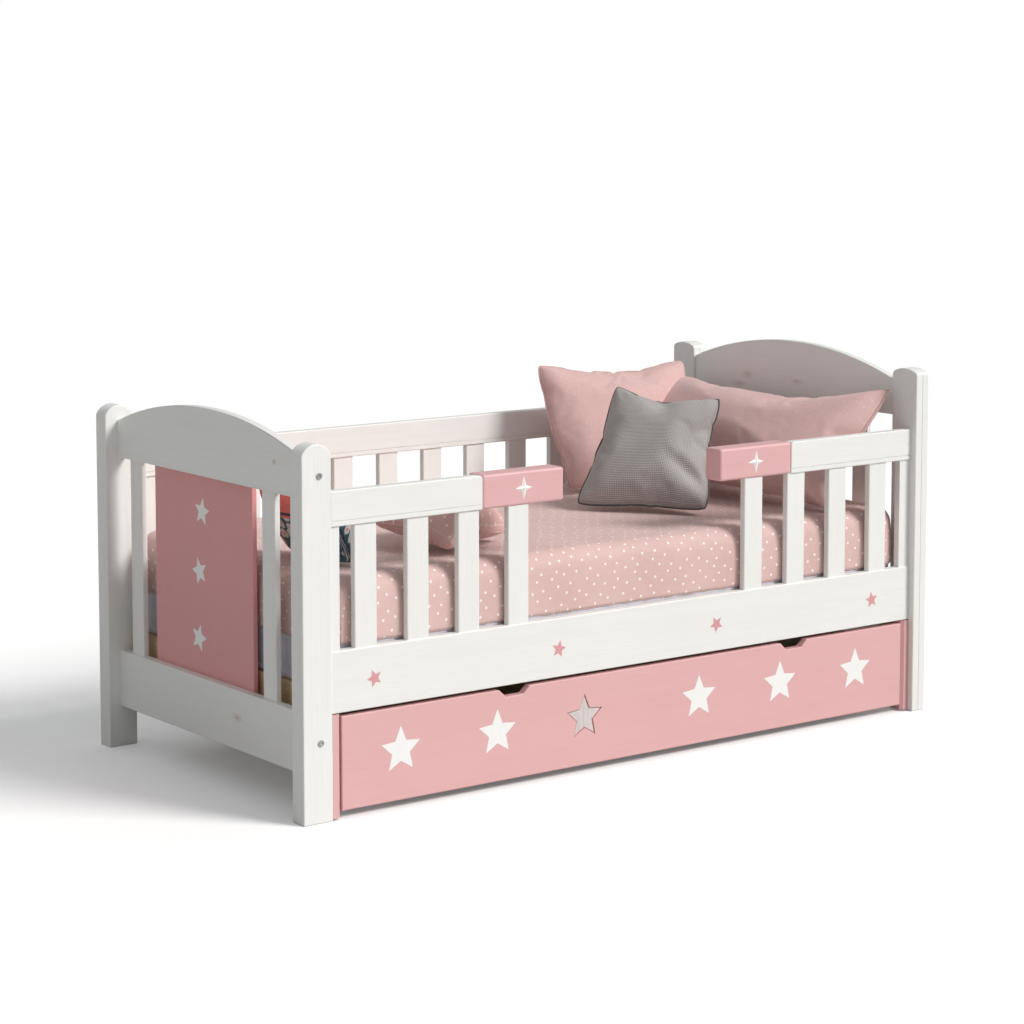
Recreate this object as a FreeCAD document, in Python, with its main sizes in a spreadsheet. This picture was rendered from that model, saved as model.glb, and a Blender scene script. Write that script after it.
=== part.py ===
"""Toddler bed with guard rails, star panels and an under-bed drawer on castors.

Millimetres, +Z up. X runs along the bed from the foot end (-X) to the head end (+X).
Y runs across it, and the open side with the drawer faces -Y. The origin is on the
floor, in the middle of the bed.
"""
import FreeCAD, Part
import math
import os
import re
import Sketcher

DOC = FreeCAD.newDocument("ToddlerBed")
SHEET = DOC.addObject("Spreadsheet::Sheet", "Sizes")

# Driving dimensions: alias, value and what it measures.
SIZES = [
    ("rail_length", 1612, "side rails, between the foot posts and the head posts"),
    ("bed_width", 850, "across the foot posts"),
    ("foot_post_long", 70, "foot post along the bed"),
    ("foot_post_wide", 44, "foot post across the bed"),
    ("foot_post_tall", 768, "foot post to the top of its crown"),
    ("head_post_long", 40, "head post along the bed"),
    ("head_post_wide", 80, "head post across the bed"),
    ("head_post_tall", 811, "head post to the top of its crown"),
    ("head_post_proud", 14, "head post beyond the foot post's side face"),
    ("post_crown", 23, "rise of a foot post's rounded top"),
    ("head_post_crown", 10, "rise of a head post's rounded top"),
    ("head_post_shoulder", 9, "rounded shoulders beside a head post's crown"),
    ("post_round", 3, "rounding of the post edges"),
    ("edge_round", 2.5, "rounding of the board edges"),
    ("end_board_thick", 22, "arch board and end rail"),
    ("foot_board_inset", 30, "foot boards behind the outer face of the foot posts"),
    ("head_board_inset", 6, "head boards behind the inner face of the head posts"),
    ("end_rail_low", 91, "underside of the foot rail"),
    ("end_rail_tall", 127, "height of the foot and head rails"),
    ("end_opening_tall", 434, "from an end rail up to its arch board"),
    ("head_raise", 45, "head boards above the foot boards"),
    ("arch_end_tall", 83, "arch board beside the posts"),
    ("arch_rise", 64, "rise of the arch in the middle"),
    ("end_slat_wide", 50, "upright slat in an end"),
    ("end_slat_thick", 14, "upright slat in an end"),
    ("end_slat_setback", 8, "end slat behind the face of its boards"),
    ("end_slat_offset", 276, "middle of an end slat from the middle of the pair"),
    ("panel_wide", 406, "star panel"),
    ("panel_thick", 12, "star panel"),
    ("panel_lap", 28, "star panel over the rail and over the arch board"),
    ("end_slat_shift", 39, "the two end slats towards the rear"),
    ("panel_shift", 52, "star panel towards the rear"),
    ("tenon_long", 12, "slat tenon in a board"),
    ("rail_low", 219, "underside of the side rails"),
    ("rail_tall", 127, "height of the side rails"),
    ("rail_thick", 22, "thickness of the side rails"),
    ("rail_setback", 2, "side rail behind the side face of the foot posts"),
    ("guard_low", 598, "underside of the guard rails"),
    ("guard_tall", 72, "height of the guard rails"),
    ("guard_thick", 24, "thickness of the guard rails"),
    ("guard_nose", 9, "rounded upper corner at the open end of a guard rail"),
    ("bead_tall", 10, "bead along the underside of a guard rail"),
    ("bead_groove", 2, "height of the groove above the bead"),
    ("bead_depth", 1.5, "depth of the groove above the bead"),
    ("cut_over", 1, "cutting block beyond the end that it cuts through"),
    ("foot_guard_reach", 585, "foot guard, from the post to the end of its cap"),
    ("head_guard_reach", 590, "head guard, from the post to the end of its cap"),
    ("cap_long", 212, "thick cap block on the open end of a guard"),
    ("cap_deep", 52, "cap block across the bed"),
    ("cap_round", 6, "rounding of the cap block"),
    ("slat_wide", 54, "guard slat"),
    ("slat_thick", 16, "guard slat"),
    ("slat_round", 3, "rounding of the slat edges"),
    ("slat_pitch", 128, "from one guard slat to the next"),
    ("foot_slat_gap", 57, "foot post to the first front slat"),
    ("head_slat_gap", 76, "head post to the first front slat"),
    ("rear_slat_gap", 31, "foot post to the first rear slat"),
    ("foot_strip_wide", 21, "end strip on the foot post"),
    ("head_strip_wide", 32, "end strip on the head post"),
    ("rear_strip_wide", 45, "end strip on the rear head post"),
    ("ledger_thick", 20, "ledger strip on the inside of a side rail"),
    ("ledger_tall", 20, "ledger strip on the inside of a side rail"),
    ("ledger_gap", 4, "between a ledger strip and a post"),
    ("base_slat_wide", 70, "slat under the mattress"),
    ("base_slat_thick", 18, "slat under the mattress"),
    ("base_slat_pitch", 128, "from one base slat to the next"),
    ("base_slat_start", 2, "post to the first base slat"),
    ("base_slat_play", 1, "base slat to the side rail, each end"),
    ("bearer_thick", 18, "bearer under the first and the last base slat"),
    ("bearer_tall", 42, "bearer under the first and the last base slat"),
    ("batten_wide", 20, "upright batten between a post and the drawer"),
    ("batten_deep", 38, "upright batten across the bed"),
    ("batten_low", 4, "underside of a batten"),
    ("batten_bevel", 7, "bevelled front corner of a batten"),
    ("batten_setback", 1, "batten behind the side face of the foot posts"),
    ("batten_top_gap", 2, "batten to the side rail"),
    ("drawer_gap", 3, "drawer front to a batten"),
    ("drawer_top_gap", 8, "drawer front to the side rail"),
    ("drawer_front_low", 17, "underside of the drawer front"),
    ("drawer_front_thick", 18, "thickness of the drawer front"),
    ("drawer_face_setback", 3, "drawer front behind the side face of the foot posts"),
    ("drawer_depth", 720, "drawer from front to back"),
    ("drawer_side_inset", 20, "drawer side in from the end of the drawer front"),
    ("drawer_side_thick", 15, "thickness of the drawer sides and back"),
    ("drawer_side_low", 54, "underside of the drawer sides"),
    ("drawer_side_tall", 116, "height of the drawer sides"),
    ("drawer_bottom_thick", 6, "thickness of the drawer bottom"),
    ("drawer_bottom_rise", 12, "drawer bottom above the lower edge of the sides"),
    ("drawer_groove", 5, "drawer bottom let into the sides, back and front"),
    ("notch_wide", 80, "finger notch at the top edge"),
    ("notch_floor", 46, "finger notch at its floor"),
    ("notch_deep", 16, "depth of a finger notch"),
    ("notch_round", 5, "rounding of the notch corners"),
    ("foot_notch_place", 457, "foot-side notch from the foot post"),
    ("head_notch_place", 1250, "head-side notch from the foot post"),
    ("wheel_radius", 18, "castor wheel"),
    ("wheel_wide", 12, "castor wheel"),
    ("wheel_round", 2, "rounding of the tread"),
    ("wheel_play", 1, "wheel to a fork leg, each side"),
    ("axle_radius", 2.5, "castor axle"),
    ("axle_play", 0.05, "wheel bore beyond the axle"),
    ("axle_head", 1.5, "thickness of the axle's riveted heads"),
    ("axle_head_radius", 4, "riveted heads of the axle"),
    ("fork_plate", 2, "sheet of the castor fork"),
    ("fork_deep", 28, "castor fork across the bed"),
    ("fork_flange", 15, "castor fork's flange beyond a leg"),
    ("fork_below_axle", 6, "fork leg below the axle"),
    ("castor_in", 140, "castor from the end of the drawer front"),
    ("castor_front", 80, "front castor from the drawer's face"),
    ("castor_back", 60, "rear castor from the drawer's back"),
    ("bolt_radius", 3, "end bolt"),
    ("bolt_long", 92, "end bolt under its head"),
    ("bolt_head_radius", 6.5, "end bolt's flat head"),
    ("bolt_head_thick", 2.5, "end bolt's flat head"),
    ("bolt_socket_radius", 2.5, "hexagon socket in the bolt head"),
    ("bolt_socket_deep", 1.8, "hexagon socket in the bolt head"),
    ("bolt_arch_rise", 52, "upper bolt above the underside of the arch board"),
    ("bolt_rail_rise", 74, "lower bolt above the underside of the foot rail"),
    ("nut_radius", 5, "barrel nut"),
    ("nut_margin", 2, "barrel nut below the board's faces, each side"),
    ("nut_reach", 34, "barrel nut in from the end of its board"),
    ("dowel_radius", 5, "wooden dowel"),
    ("dowel_half", 28, "wooden dowel on each side of its joint"),
    ("dowel_inset", 24, "dowel from the edge of its board"),
    ("bracket_leg", 40, "corner bracket's leg on the rail"),
    ("bracket_foot", 17, "corner bracket's leg on the post"),
    ("bracket_plate", 2.5, "corner bracket's sheet"),
    ("bracket_tall", 66, "height of a corner bracket"),
    ("bracket_rise", 50, "corner bracket above the underside of the rail"),
    ("bracket_screw_in", 14, "bracket screw from the bracket's ends"),
    ("screw_radius", 2, "wood screw"),
    ("screw_head_radius", 4, "pan head of a wood screw"),
    ("screw_head_thick", 1.8, "pan head of a wood screw"),
    ("bracket_screw_long", 16, "screw of a corner bracket"),
    ("base_screw_long", 30, "screw of a base slat"),
    ("ledger_screw_long", 34, "screw of a ledger strip"),
    ("ledger_screw_start", 100, "post to the first ledger screw"),
    ("panel_screw_long", 26, "screw of a star panel"),
    ("panel_screw_in", 40, "panel screw from the side of the panel"),
    ("castor_screw_long", 7.5, "screw of a castor fork"),
    ("groove_wide", 1.6, "joint line down the side face of a head post"),
    ("groove_deep", 1, "joint line down the side face of a head post"),
    ("star_deep", 2, "inlaid star below the surface"),
    ("star_proud", 0.4, "inlaid star above the surface"),
    ("rail_star_radius", 19, "star in the side rail"),
    ("rail_star_drop", 3, "star in the side rail below its middle"),
    ("drawer_star_radius", 50, "star in the drawer front"),
    ("drawer_star_rise", 8, "star in the drawer front above its middle"),
    ("panel_star_radius", 31, "star in a star panel"),
    ("cap_star_tall", 26, "long ray of the cap's four-pointed star"),
    ("cap_star_wide", 22, "short ray of the cap's four-pointed star"),
    ("cap_star_waist", 8, "inner corner of the cap's four-pointed star"),
    ("cap_star_place", 106, "cap's star from the free end of the cap"),
    ("cap_star_proud", 3, "ridge of the cap's star above the surface"),
    ("recess_deep", 4, "recess around the sunk drawer star"),
    ("recess_radius", 51, "recess around the sunk drawer star"),
    ("recess_star_radius", 45, "sunk drawer star"),
    ("mattress_gap", 6, "mattress to a post, each end"),
    ("mattress_play", 3, "mattress to a side rail"),
    ("mattress_tall", 228, "mattress"),
    ("mattress_corner", 60, "upright corners of the mattress"),
    ("mattress_round", 22, "upper and lower edges of the mattress"),
    ("sheet_thick", 2, "fitted sheet"),
    ("sheet_drop", 141, "fitted sheet down the side of the mattress"),
    ("rest_gap", 0.5, "between soft pieces that rest on each other"),
    ("soft_corner", 55, "plan corners of the large pillows"),
    ("small_corner", 33, "plan corners of the small cushions"),
    ("crown_share", 0.44, "rounding of a cushion's edges as a share of its thickness"),
    ("head_pillow_wide", 716, "pillow along the headboard"),
    ("head_pillow_deep", 370, "pillow along the headboard"),
    ("head_pillow_thick", 130, "pillow along the headboard"),
    ("head_pillow_lean", 38, "degrees up from flat"),
    ("head_pillow_back", 166, "its middle from the head posts"),
    ("head_pillow_side", 333, "its middle from the front head post"),
    ("head_pillow_rise", 143, "its middle above the sheet"),
    ("back_pillow_wide", 445, "pillow against the rear guard"),
    ("back_pillow_deep", 328, "pillow against the rear guard"),
    ("back_pillow_thick", 118, "pillow against the rear guard"),
    ("back_pillow_lean", 66, "degrees up from flat"),
    ("back_pillow_back", 326, "its middle from the head posts"),
    ("back_pillow_side", 165, "its middle from the rear side of the foot posts"),
    ("back_pillow_rise", 158, "its middle above the sheet"),
    ("knit_wide", 305, "knitted cushion"),
    ("knit_deep", 300, "knitted cushion"),
    ("knit_thick", 108, "knitted cushion"),
    ("knit_lean", 50, "degrees up from flat"),
    ("knit_turn", 53, "degrees from facing the head end"),
    ("knit_back", 474, "its middle from the head posts"),
    ("knit_side", 57, "its middle in front of the bed's middle"),
    ("knit_rise", 131, "its middle above the sheet"),
    ("small_wide", 232, "small pillow at the foot"),
    ("small_deep", 200, "small pillow at the foot"),
    ("small_thick", 132, "small pillow at the foot"),
    ("small_turn", 24, "degrees from square with the bed"),
    ("small_along", 428, "its middle from the foot posts"),
    ("small_side", 205, "its middle from the inside of the front rail"),
    ("toy_wide", 236, "patterned cushion at the foot"),
    ("toy_deep", 190, "patterned cushion at the foot"),
    ("toy_thick", 78, "patterned cushion at the foot"),
    ("toy_lean", 60, "degrees up from flat"),
    ("toy_along", 90, "its middle from the foot posts"),
    ("toy_side", 212, "its middle from the inside of the front rail"),
    ("toy_rise", 94, "its middle above the sheet"),
]

for row, (alias, value, note) in enumerate(SIZES, 1):
    SHEET.set(f"A{row}", alias)
    SHEET.set(f"B{row}", str(value))
    SHEET.set(f"C{row}", note)
    SHEET.setAlias(f"B{row}", alias)
DOC.recompute()

# Places worked out from the driving dimensions, as formulas for setExpression.
OVERALL = "(foot_post_long + rail_length + head_post_long)"
FOOT_FACE = f"(0 - {OVERALL} / 2)"
RAIL_FOOT = f"({FOOT_FACE} + foot_post_long)"
RAIL_HEAD = f"({RAIL_FOOT} + rail_length)"
FRONT = "(0 - bed_width / 2)"
REAR = "(bed_width / 2)"
HEAD_FRONT = f"({FRONT} - head_post_proud)"
FOOT_SPAN = "(bed_width - 2 * foot_post_wide)"
HEAD_SPAN = "(bed_width + 2 * head_post_proud - 2 * head_post_wide)"
FOOT_BOARDS = f"({FOOT_FACE} + foot_board_inset)"
HEAD_BOARDS = f"({RAIL_HEAD} + head_board_inset)"
FOOT_OPENING = "(end_rail_low + end_rail_tall)"
HEAD_OPENING = f"({FOOT_OPENING} + head_raise)"
ARCH_LOW = f"({FOOT_OPENING} + end_opening_tall)"
RAIL_TOP = "(rail_low + rail_tall)"
GUARD_BACK = "(rail_setback + rail_thick / 2 - guard_thick / 2)"
RAIL_MIDDLE = "(rail_setback + rail_thick / 2)"
SLAT_LONG = f"(guard_low - {RAIL_TOP} + 2 * tenon_long)"
BASE_LOW = "(rail_low + ledger_tall)"
MATTRESS_LOW = f"({BASE_LOW} + base_slat_thick)"
BED_TOP = f"({MATTRESS_LOW} + mattress_tall + sheet_thick)"
INNER_FRONT = f"({FRONT} + rail_setback + rail_thick)"
INNER_WIDE = "(bed_width - 2 * rail_setback - 2 * rail_thick)"
DRAWER_LEFT = f"({RAIL_FOOT} + batten_wide + drawer_gap)"
DRAWER_WIDE = "(rail_length - 2 * batten_wide - 2 * drawer_gap)"
DRAWER_FACE = f"({FRONT} + drawer_face_setback)"
DRAWER_TOP = "(rail_low - drawer_top_gap)"
DRAWER_BACK = f"({DRAWER_FACE} + drawer_depth)"
DRAWER_FLOOR = "(drawer_side_low + drawer_bottom_rise)"
BASE_SLATS = "(floor((rail_length - 2 * base_slat_start - base_slat_wide) / base_slat_pitch) + 1)"


def bound(formula):
    """Point each alias in a formula at its cell in the sheet."""
    return re.sub(r"[a-z]+(?:_[a-z]+)+", lambda found: "Sizes." + found.group(0), formula)


def number(formula):
    """The present value of a formula."""
    return float(SHEET.evalExpression(bound(formula)))


def bind(thing, name, formula):
    """Tie one property to a formula."""
    thing.setExpression(name, bound(formula))


def place(thing, x, y, z, axis=None, angle="0"):
    """Tie a placement to three formulas, with an optional turn about one axis."""
    if axis:
        thing.Placement = FreeCAD.Placement(FreeCAD.Vector(), FreeCAD.Rotation(FreeCAD.Vector(*axis), 10))
        bind(thing, "Placement.Rotation.Angle", angle)
    bind(thing, "Placement.Base.x", x)
    bind(thing, "Placement.Base.y", y)
    bind(thing, "Placement.Base.z", z)


def new_body(label, x="0", y="0", z="0", axis=None, angle="0"):
    """An empty body with its label and place."""
    piece = DOC.addObject("PartDesign::Body", label)
    piece.Label = label
    place(piece, x, y, z, axis, angle)
    return piece


def new_sketch(piece, plane, name="outline"):
    """A sketch on one of the body's own origin planes: XY, XZ or YZ."""
    flat = piece.newObject("Sketcher::SketchObject", f"{piece.Label}_{name}")
    role = f"{plane}_Plane"
    flat.AttachmentSupport = (next(one for one in piece.Origin.OriginFeatures if one.Role == role), [""])
    flat.MapMode = "FlatFace"
    return flat


def draw(flat, corners, arcs=None):
    """Draw a closed outline through corners given as formulas.

    arcs maps the number of a side to the formula of its rise to the left of its direction
    of travel, where the side is an arc and not a straight line.
    """
    arcs = arcs or {}
    first = flat.GeometryCount
    points = [FreeCAD.Vector(number(x), number(y), 0) for x, y in corners]
    count = len(points)
    for side in range(count):
        start = points[side]
        end = points[(side + 1) % count]
        if side in arcs:
            along = end - start
            outward = FreeCAD.Vector(-along.y, along.x, 0).normalize()
            middle = (start + end) * 0.5 - outward * number(arcs[side])
            flat.addGeometry(Part.Arc(start, middle, end))
        else:
            flat.addGeometry(Part.LineSegment(start, end))
    starts = []
    ends = []
    for side in range(count):
        turned = side in arcs and flat.Geometry[first + side].StartPoint.distanceToPoint(points[side]) > 1e-6
        starts.append(2 if turned else 1)
        ends.append(1 if turned else 2)
    for side in range(count):
        after = (side + 1) % count
        flat.addConstraint(Sketcher.Constraint(
            "Coincident", first + side, ends[side], first + after, starts[after]))
    for side, (x, y) in enumerate(corners):
        for kind, formula in (("DistanceX", x), ("DistanceY", y)):
            fixed = flat.addConstraint(Sketcher.Constraint(
                kind, -1, 1, first + side, starts[side], number(formula)))
            bind(flat, f"Constraints[{fixed}]", formula)
        if side in arcs:
            chord = (points[(side + 1) % count] - points[side]).Length
            rise = number(arcs[side])
            radius = (chord * chord / 4 + rise * rise) / (2 * rise)
            flat.addConstraint(Sketcher.Constraint("Radius", first + side, radius))
    return flat


def draw_rounded(flat, wide, deep, corner):
    """Draw a rectangle from the origin with rounded corners, tied by tangent arcs."""
    w, d, r = number(wide), number(deep), number(corner)
    vector = FreeCAD.Vector
    up = vector(0, 0, 1)
    quarter = math.pi / 2
    flat.addGeometry(Part.LineSegment(vector(r, 0, 0), vector(w - r, 0, 0)))
    flat.addGeometry(Part.ArcOfCircle(Part.Circle(vector(w - r, r, 0), up, r), -quarter, 0))
    flat.addGeometry(Part.LineSegment(vector(w, r, 0), vector(w, d - r, 0)))
    flat.addGeometry(Part.ArcOfCircle(Part.Circle(vector(w - r, d - r, 0), up, r), 0, quarter))
    flat.addGeometry(Part.LineSegment(vector(w - r, d, 0), vector(r, d, 0)))
    flat.addGeometry(Part.ArcOfCircle(Part.Circle(vector(r, d - r, 0), up, r), quarter, 2 * quarter))
    flat.addGeometry(Part.LineSegment(vector(0, d - r, 0), vector(0, r, 0)))
    flat.addGeometry(Part.ArcOfCircle(Part.Circle(vector(r, r, 0), up, r), 2 * quarter, 3 * quarter))
    for side in range(8):
        flat.addConstraint(Sketcher.Constraint("Tangent", side, 2, (side + 1) % 8, 1))
    for side, kind in ((0, "Horizontal"), (4, "Horizontal"), (2, "Vertical"), (6, "Vertical")):
        flat.addConstraint(Sketcher.Constraint(kind, side))
    for side in (3, 5, 7):
        flat.addConstraint(Sketcher.Constraint("Equal", 1, side))
    flat.addConstraint(Sketcher.Constraint("PointOnObject", 0, 1, -1))
    flat.addConstraint(Sketcher.Constraint("PointOnObject", 6, 1, -2))
    for constraint, formula in (
        (Sketcher.Constraint("Radius", 1, r), corner),
        (Sketcher.Constraint("DistanceX", 6, 1, 2, 1, w), wide),
        (Sketcher.Constraint("DistanceY", 0, 1, 4, 1, d), deep),
    ):
        bind(flat, f"Constraints[{flat.addConstraint(constraint)}]", formula)
    return flat


def draw_circle(flat, x, y, radius):
    """Draw a circle whose centre and radius are formulas."""
    number_of = flat.addGeometry(Part.Circle(
        FreeCAD.Vector(number(x), number(y), 0), FreeCAD.Vector(0, 0, 1), number(radius)))
    for constraint, formula in (
        (Sketcher.Constraint("DistanceX", -1, 1, number_of, 3, number(x)), x),
        (Sketcher.Constraint("DistanceY", -1, 1, number_of, 3, number(y)), y),
        (Sketcher.Constraint("Radius", number_of, number(radius)), radius),
    ):
        bind(flat, f"Constraints[{flat.addConstraint(constraint)}]", formula)
    return flat


def pad(piece, flat, length, reverse=False):
    """Pad a sketch; on the XZ plane reverse=True goes towards +Y."""
    feature = piece.newObject("PartDesign::Pad", f"{flat.Name}_pad")
    feature.Profile = flat
    feature.Reversed = reverse
    bind(feature, "Length", length)
    DOC.recompute()
    return feature


def pocket(piece, flat, length, reverse=False):
    """Cut a sketch into the body, and prove that it took material away."""
    before = piece.Shape.Volume
    feature = piece.newObject("PartDesign::Pocket", f"{flat.Name}_pocket")
    feature.Profile = flat
    feature.Reversed = reverse
    bind(feature, "Length", length)
    DOC.recompute()
    if not piece.Shape.Volume < before:
        raise ValueError(f"{feature.Name} cuts nothing")
    return feature


def round_edges(piece, radius, wanted=None):
    """Fillet the edges of the body's tip that wanted() picks, or all of them."""
    DOC.recompute()
    base = piece.Tip
    feature = piece.newObject("PartDesign::Fillet", f"{base.Name}_round")
    names = [f"Edge{place_in}" for place_in, edge in enumerate(base.Shape.Edges, 1)
             if wanted is None or wanted(edge)]
    feature.Base = (base, names)
    bind(feature, "Radius", radius)
    return feature


def bevel_edges(piece, size, wanted):
    """Chamfer the edges of the body's tip that wanted() picks."""
    DOC.recompute()
    base = piece.Tip
    feature = piece.newObject("PartDesign::Chamfer", f"{base.Name}_bevel")
    feature.Base = (base, [f"Edge{place_in}" for place_in, edge in enumerate(base.Shape.Edges, 1)
                           if wanted(edge)])
    bind(feature, "Size", size)
    return feature


def runs_along(edge, axis):
    """Whether a straight edge runs along X, Y or Z."""
    box = edge.BoundBox
    lengths = {"X": box.XLength, "Y": box.YLength, "Z": box.ZLength}
    return lengths[axis] > 0.5 and all(length < 1e-3 for name, length in lengths.items() if name != axis)


def lies_at(edge, axis, value):
    """Whether a whole edge lies at one X, Y or Z of its body."""
    box = edge.BoundBox
    low, high = {"X": (box.XMin, box.XMax), "Y": (box.YMin, box.YMax), "Z": (box.ZMin, box.ZMax)}[axis]
    return abs(low - value) < 1e-3 and abs(high - value) < 1e-3


def board(label, size, corner, radius="edge_round", ends=None):
    """A rectangular board with eased edges; the ends named by an axis stay sharp."""
    long, deep, tall = size
    piece = new_body(label, *corner)
    flat = draw(new_sketch(piece, "XY"), [("0", "0"), (long, "0"), (long, deep), ("0", deep)])
    pad(piece, flat, tall)
    limit = {"X": long, "Y": deep, "Z": tall}
    if ends:
        far = number(limit[ends])
        round_edges(piece, radius, lambda edge: not lies_at(edge, ends, 0) and not lies_at(edge, ends, far))
    else:
        round_edges(piece, radius)
    return piece


def repeat(piece, axis_name, pitch, count, reverse=False):
    """Repeat the body's only feature along an axis of its own sketch."""
    feature = piece.Tip
    pattern = piece.newObject("PartDesign::LinearPattern", f"{piece.Label}_row")
    pattern.Originals = [feature]
    pattern.Direction = (feature.Profile[0], [axis_name])
    pattern.Mode = "Spacing"
    pattern.Reversed = reverse
    bind(pattern, "Offset", pitch)
    bind(pattern, "Occurrences", count)
    piece.Tip = pattern
    return piece


def slat_row(label, corner, count, reverse=False, size=("slat_wide", "slat_thick"), tall=SLAT_LONG,
             pitch="slat_pitch"):
    """Upright slats side by side along the bed, as one row."""
    piece = new_body(label, *corner)
    flat = draw_rounded(new_sketch(piece, "XY"), size[0], size[1], "slat_round")
    pad(piece, flat, tall)
    return repeat(piece, "H_Axis", pitch, count, reverse)


def group(label, pieces):
    """Several solids that share one node."""
    whole = DOC.addObject("Part::Compound", label)
    whole.Label = label
    whole.Links = pieces
    return whole


def cut(label, base, tools):
    """A base with other pieces' space taken out of it."""
    base.Label = f"{label}_blank"
    tool = tools[0] if len(tools) == 1 else group(f"{label}_tools", tools)
    result = DOC.addObject("Part::Cut", label)
    result.Label = label
    result.Base = base
    result.Tool = tool
    DOC.recompute()
    if not result.Shape.Volume < base.Shape.Volume - 1e-6:
        raise ValueError(f"{label}: its tools cut nothing")
    return result


def box(label, size, corner):
    """A plain block, for cutting."""
    block = DOC.addObject("Part::Box", label)
    block.Label = label
    for name, formula in zip(("Length", "Width", "Height"), size):
        bind(block, name, formula)
    place(block, *corner)
    return block


def rod(label, radius, length, at, axis):
    """A round rod from a point along X, Y or Z, or against it with a minus sign."""
    turns = {
        "Z": (None, "0"),
        "X": ((0, 1, 0), "90"),
        "Y": ((1, 0, 0), "0 - 90"),
        "-Z": ((1, 0, 0), "180"),
        "-X": ((0, 1, 0), "0 - 90"),
        "-Y": ((1, 0, 0), "90"),
    }
    piece = DOC.addObject("Part::Cylinder", label)
    piece.Label = label
    bind(piece, "Radius", radius)
    bind(piece, "Height", length)
    place(piece, *at, *turns[axis])
    return piece


OPPOSITE = {"X": "-X", "Y": "-Y", "Z": "-Z", "-X": "X", "-Y": "Y", "-Z": "Z"}


def screw(label, at, axis, length, radius="screw_radius", head_radius="screw_head_radius",
          head_thick="screw_head_thick"):
    """A screw whose head sits on the point and whose shank goes in along the axis."""
    shank = rod(f"{label}_shank", radius, length, at, axis)
    head = rod(f"{label}_head", head_radius, head_thick, at, OPPOSITE[axis])
    whole = DOC.addObject("Part::Fuse", label)
    whole.Label = label
    whole.Base = shank
    whole.Tool = head
    return whole


def star(label, plane, radius, centre, deep, high, turn=0, waist=0.46):
    """A five-pointed star from deep below a surface to high above it.

    On XZ it faces -Y, and on YZ it faces -X; centre lies on the surface.
    """
    piece = new_body(label, *centre)
    corners = []
    for step in range(10):
        reach = radius if step % 2 == 0 else f"{radius} * {waist}"
        angle = 90 + turn + 36 * step
        corners.append((f"{reach} * cos({angle}deg)", f"{reach} * sin({angle}deg)"))
    flat = draw(new_sketch(piece, plane), corners)
    flat.AttachmentOffset = FreeCAD.Placement()
    bind(flat, "AttachmentOffset.Base.z", f"{high}" if plane == "XZ" else f"0 - ({high})")
    pad(piece, flat, f"({deep}) + ({high})", reverse=plane == "XZ")
    return piece


# The posts. Foot posts show their rounded top from the side, head posts from the end.

def foot_post(label, y):
    """A foot post with its crown arching along the bed."""
    piece = new_body(label, FOOT_FACE, y, "0")
    shoulder = "foot_post_tall - post_crown"
    flat = draw(new_sketch(piece, "XZ"), [
        ("0", "0"), ("foot_post_long", "0"), ("foot_post_long", shoulder), ("0", shoulder)],
        {2: "post_crown"})
    pad(piece, flat, "foot_post_wide", reverse=True)
    round_edges(piece, "post_round")
    return piece


def head_post(label, y):
    """A head post with its crown arching across the bed and a joint line down its sides."""
    piece = new_body(label, RAIL_HEAD, y, "0")
    shoulder = "head_post_tall - head_post_crown"
    flat = draw(new_sketch(piece, "YZ"), [
        ("0", "0"), ("head_post_wide", "0"), ("head_post_wide", shoulder), ("0", shoulder)],
        {2: "head_post_crown"})
    pad(piece, flat, "head_post_long")
    level = number(shoulder)
    round_edges(piece, "head_post_shoulder", lambda edge: runs_along(edge, "X") and lies_at(edge, "Z", level))
    round_edges(piece, "post_round")
    lines = []
    for side, line_y in (("outer", y), ("inner", f"{y} + head_post_wide - groove_deep")):
        lines.append(box(f"{label}_{side}_line", ("groove_wide", "groove_deep", "head_post_tall"),
                         (f"{RAIL_HEAD} + head_post_long / 2 - groove_wide / 2", line_y, "0")))
    return piece, lines


HEAD_REAR = f"({REAR} + head_post_proud - head_post_wide)"
foot_post_front = foot_post("foot_post_front", FRONT)
foot_post_rear = foot_post("foot_post_rear", f"{REAR} - foot_post_wide")
head_post_front, head_front_lines = head_post("head_post_front", HEAD_FRONT)
head_post_rear, head_rear_lines = head_post("head_post_rear", HEAD_REAR)


# The two ends: arch board, rail, two slats and a star panel each.

def arch_board(label, x, y, z, span):
    """A board with an arched top edge, between two posts."""
    piece = new_body(label, x, y, z)
    flat = draw(new_sketch(piece, "YZ"), [
        ("0", "0"), (span, "0"), (span, "arch_end_tall"), ("0", "arch_end_tall")], {2: "arch_rise"})
    pad(piece, flat, "end_board_thick")
    far = number(span)
    round_edges(piece, "edge_round", lambda edge: not lies_at(edge, "Y", 0) and not lies_at(edge, "Y", far))
    return piece


def end_slats(label, x, z):
    """The two upright slats of an end."""
    pair = []
    for name, sign in (("front", "-"), ("rear", "+")):
        piece = new_body(f"{label}_{name}", f"{x} + end_slat_setback",
                         f"end_slat_shift {sign} end_slat_offset - end_slat_wide / 2", f"{z} - tenon_long")
        flat = draw_rounded(new_sketch(piece, "XY"), "end_slat_thick", "end_slat_wide", "slat_round")
        pad(piece, flat, "end_opening_tall + 2 * tenon_long")
        pair.append(piece)
    return group(label, pair)


def star_panel(label, x, z):
    """The panel that laps the rail and the arch board on their far side."""
    return board(label, ("panel_thick", "panel_wide", "end_opening_tall + 2 * panel_lap"),
                 (f"{x} + end_board_thick", "panel_shift - panel_wide / 2", f"{z} - panel_lap"))


# Each star of a panel: above the rail, towards the rear from the panel's middle, and turn.
PANEL_STARS = ((352, 1, 8), (222, 14, -16), (77, 19, 14))


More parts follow.
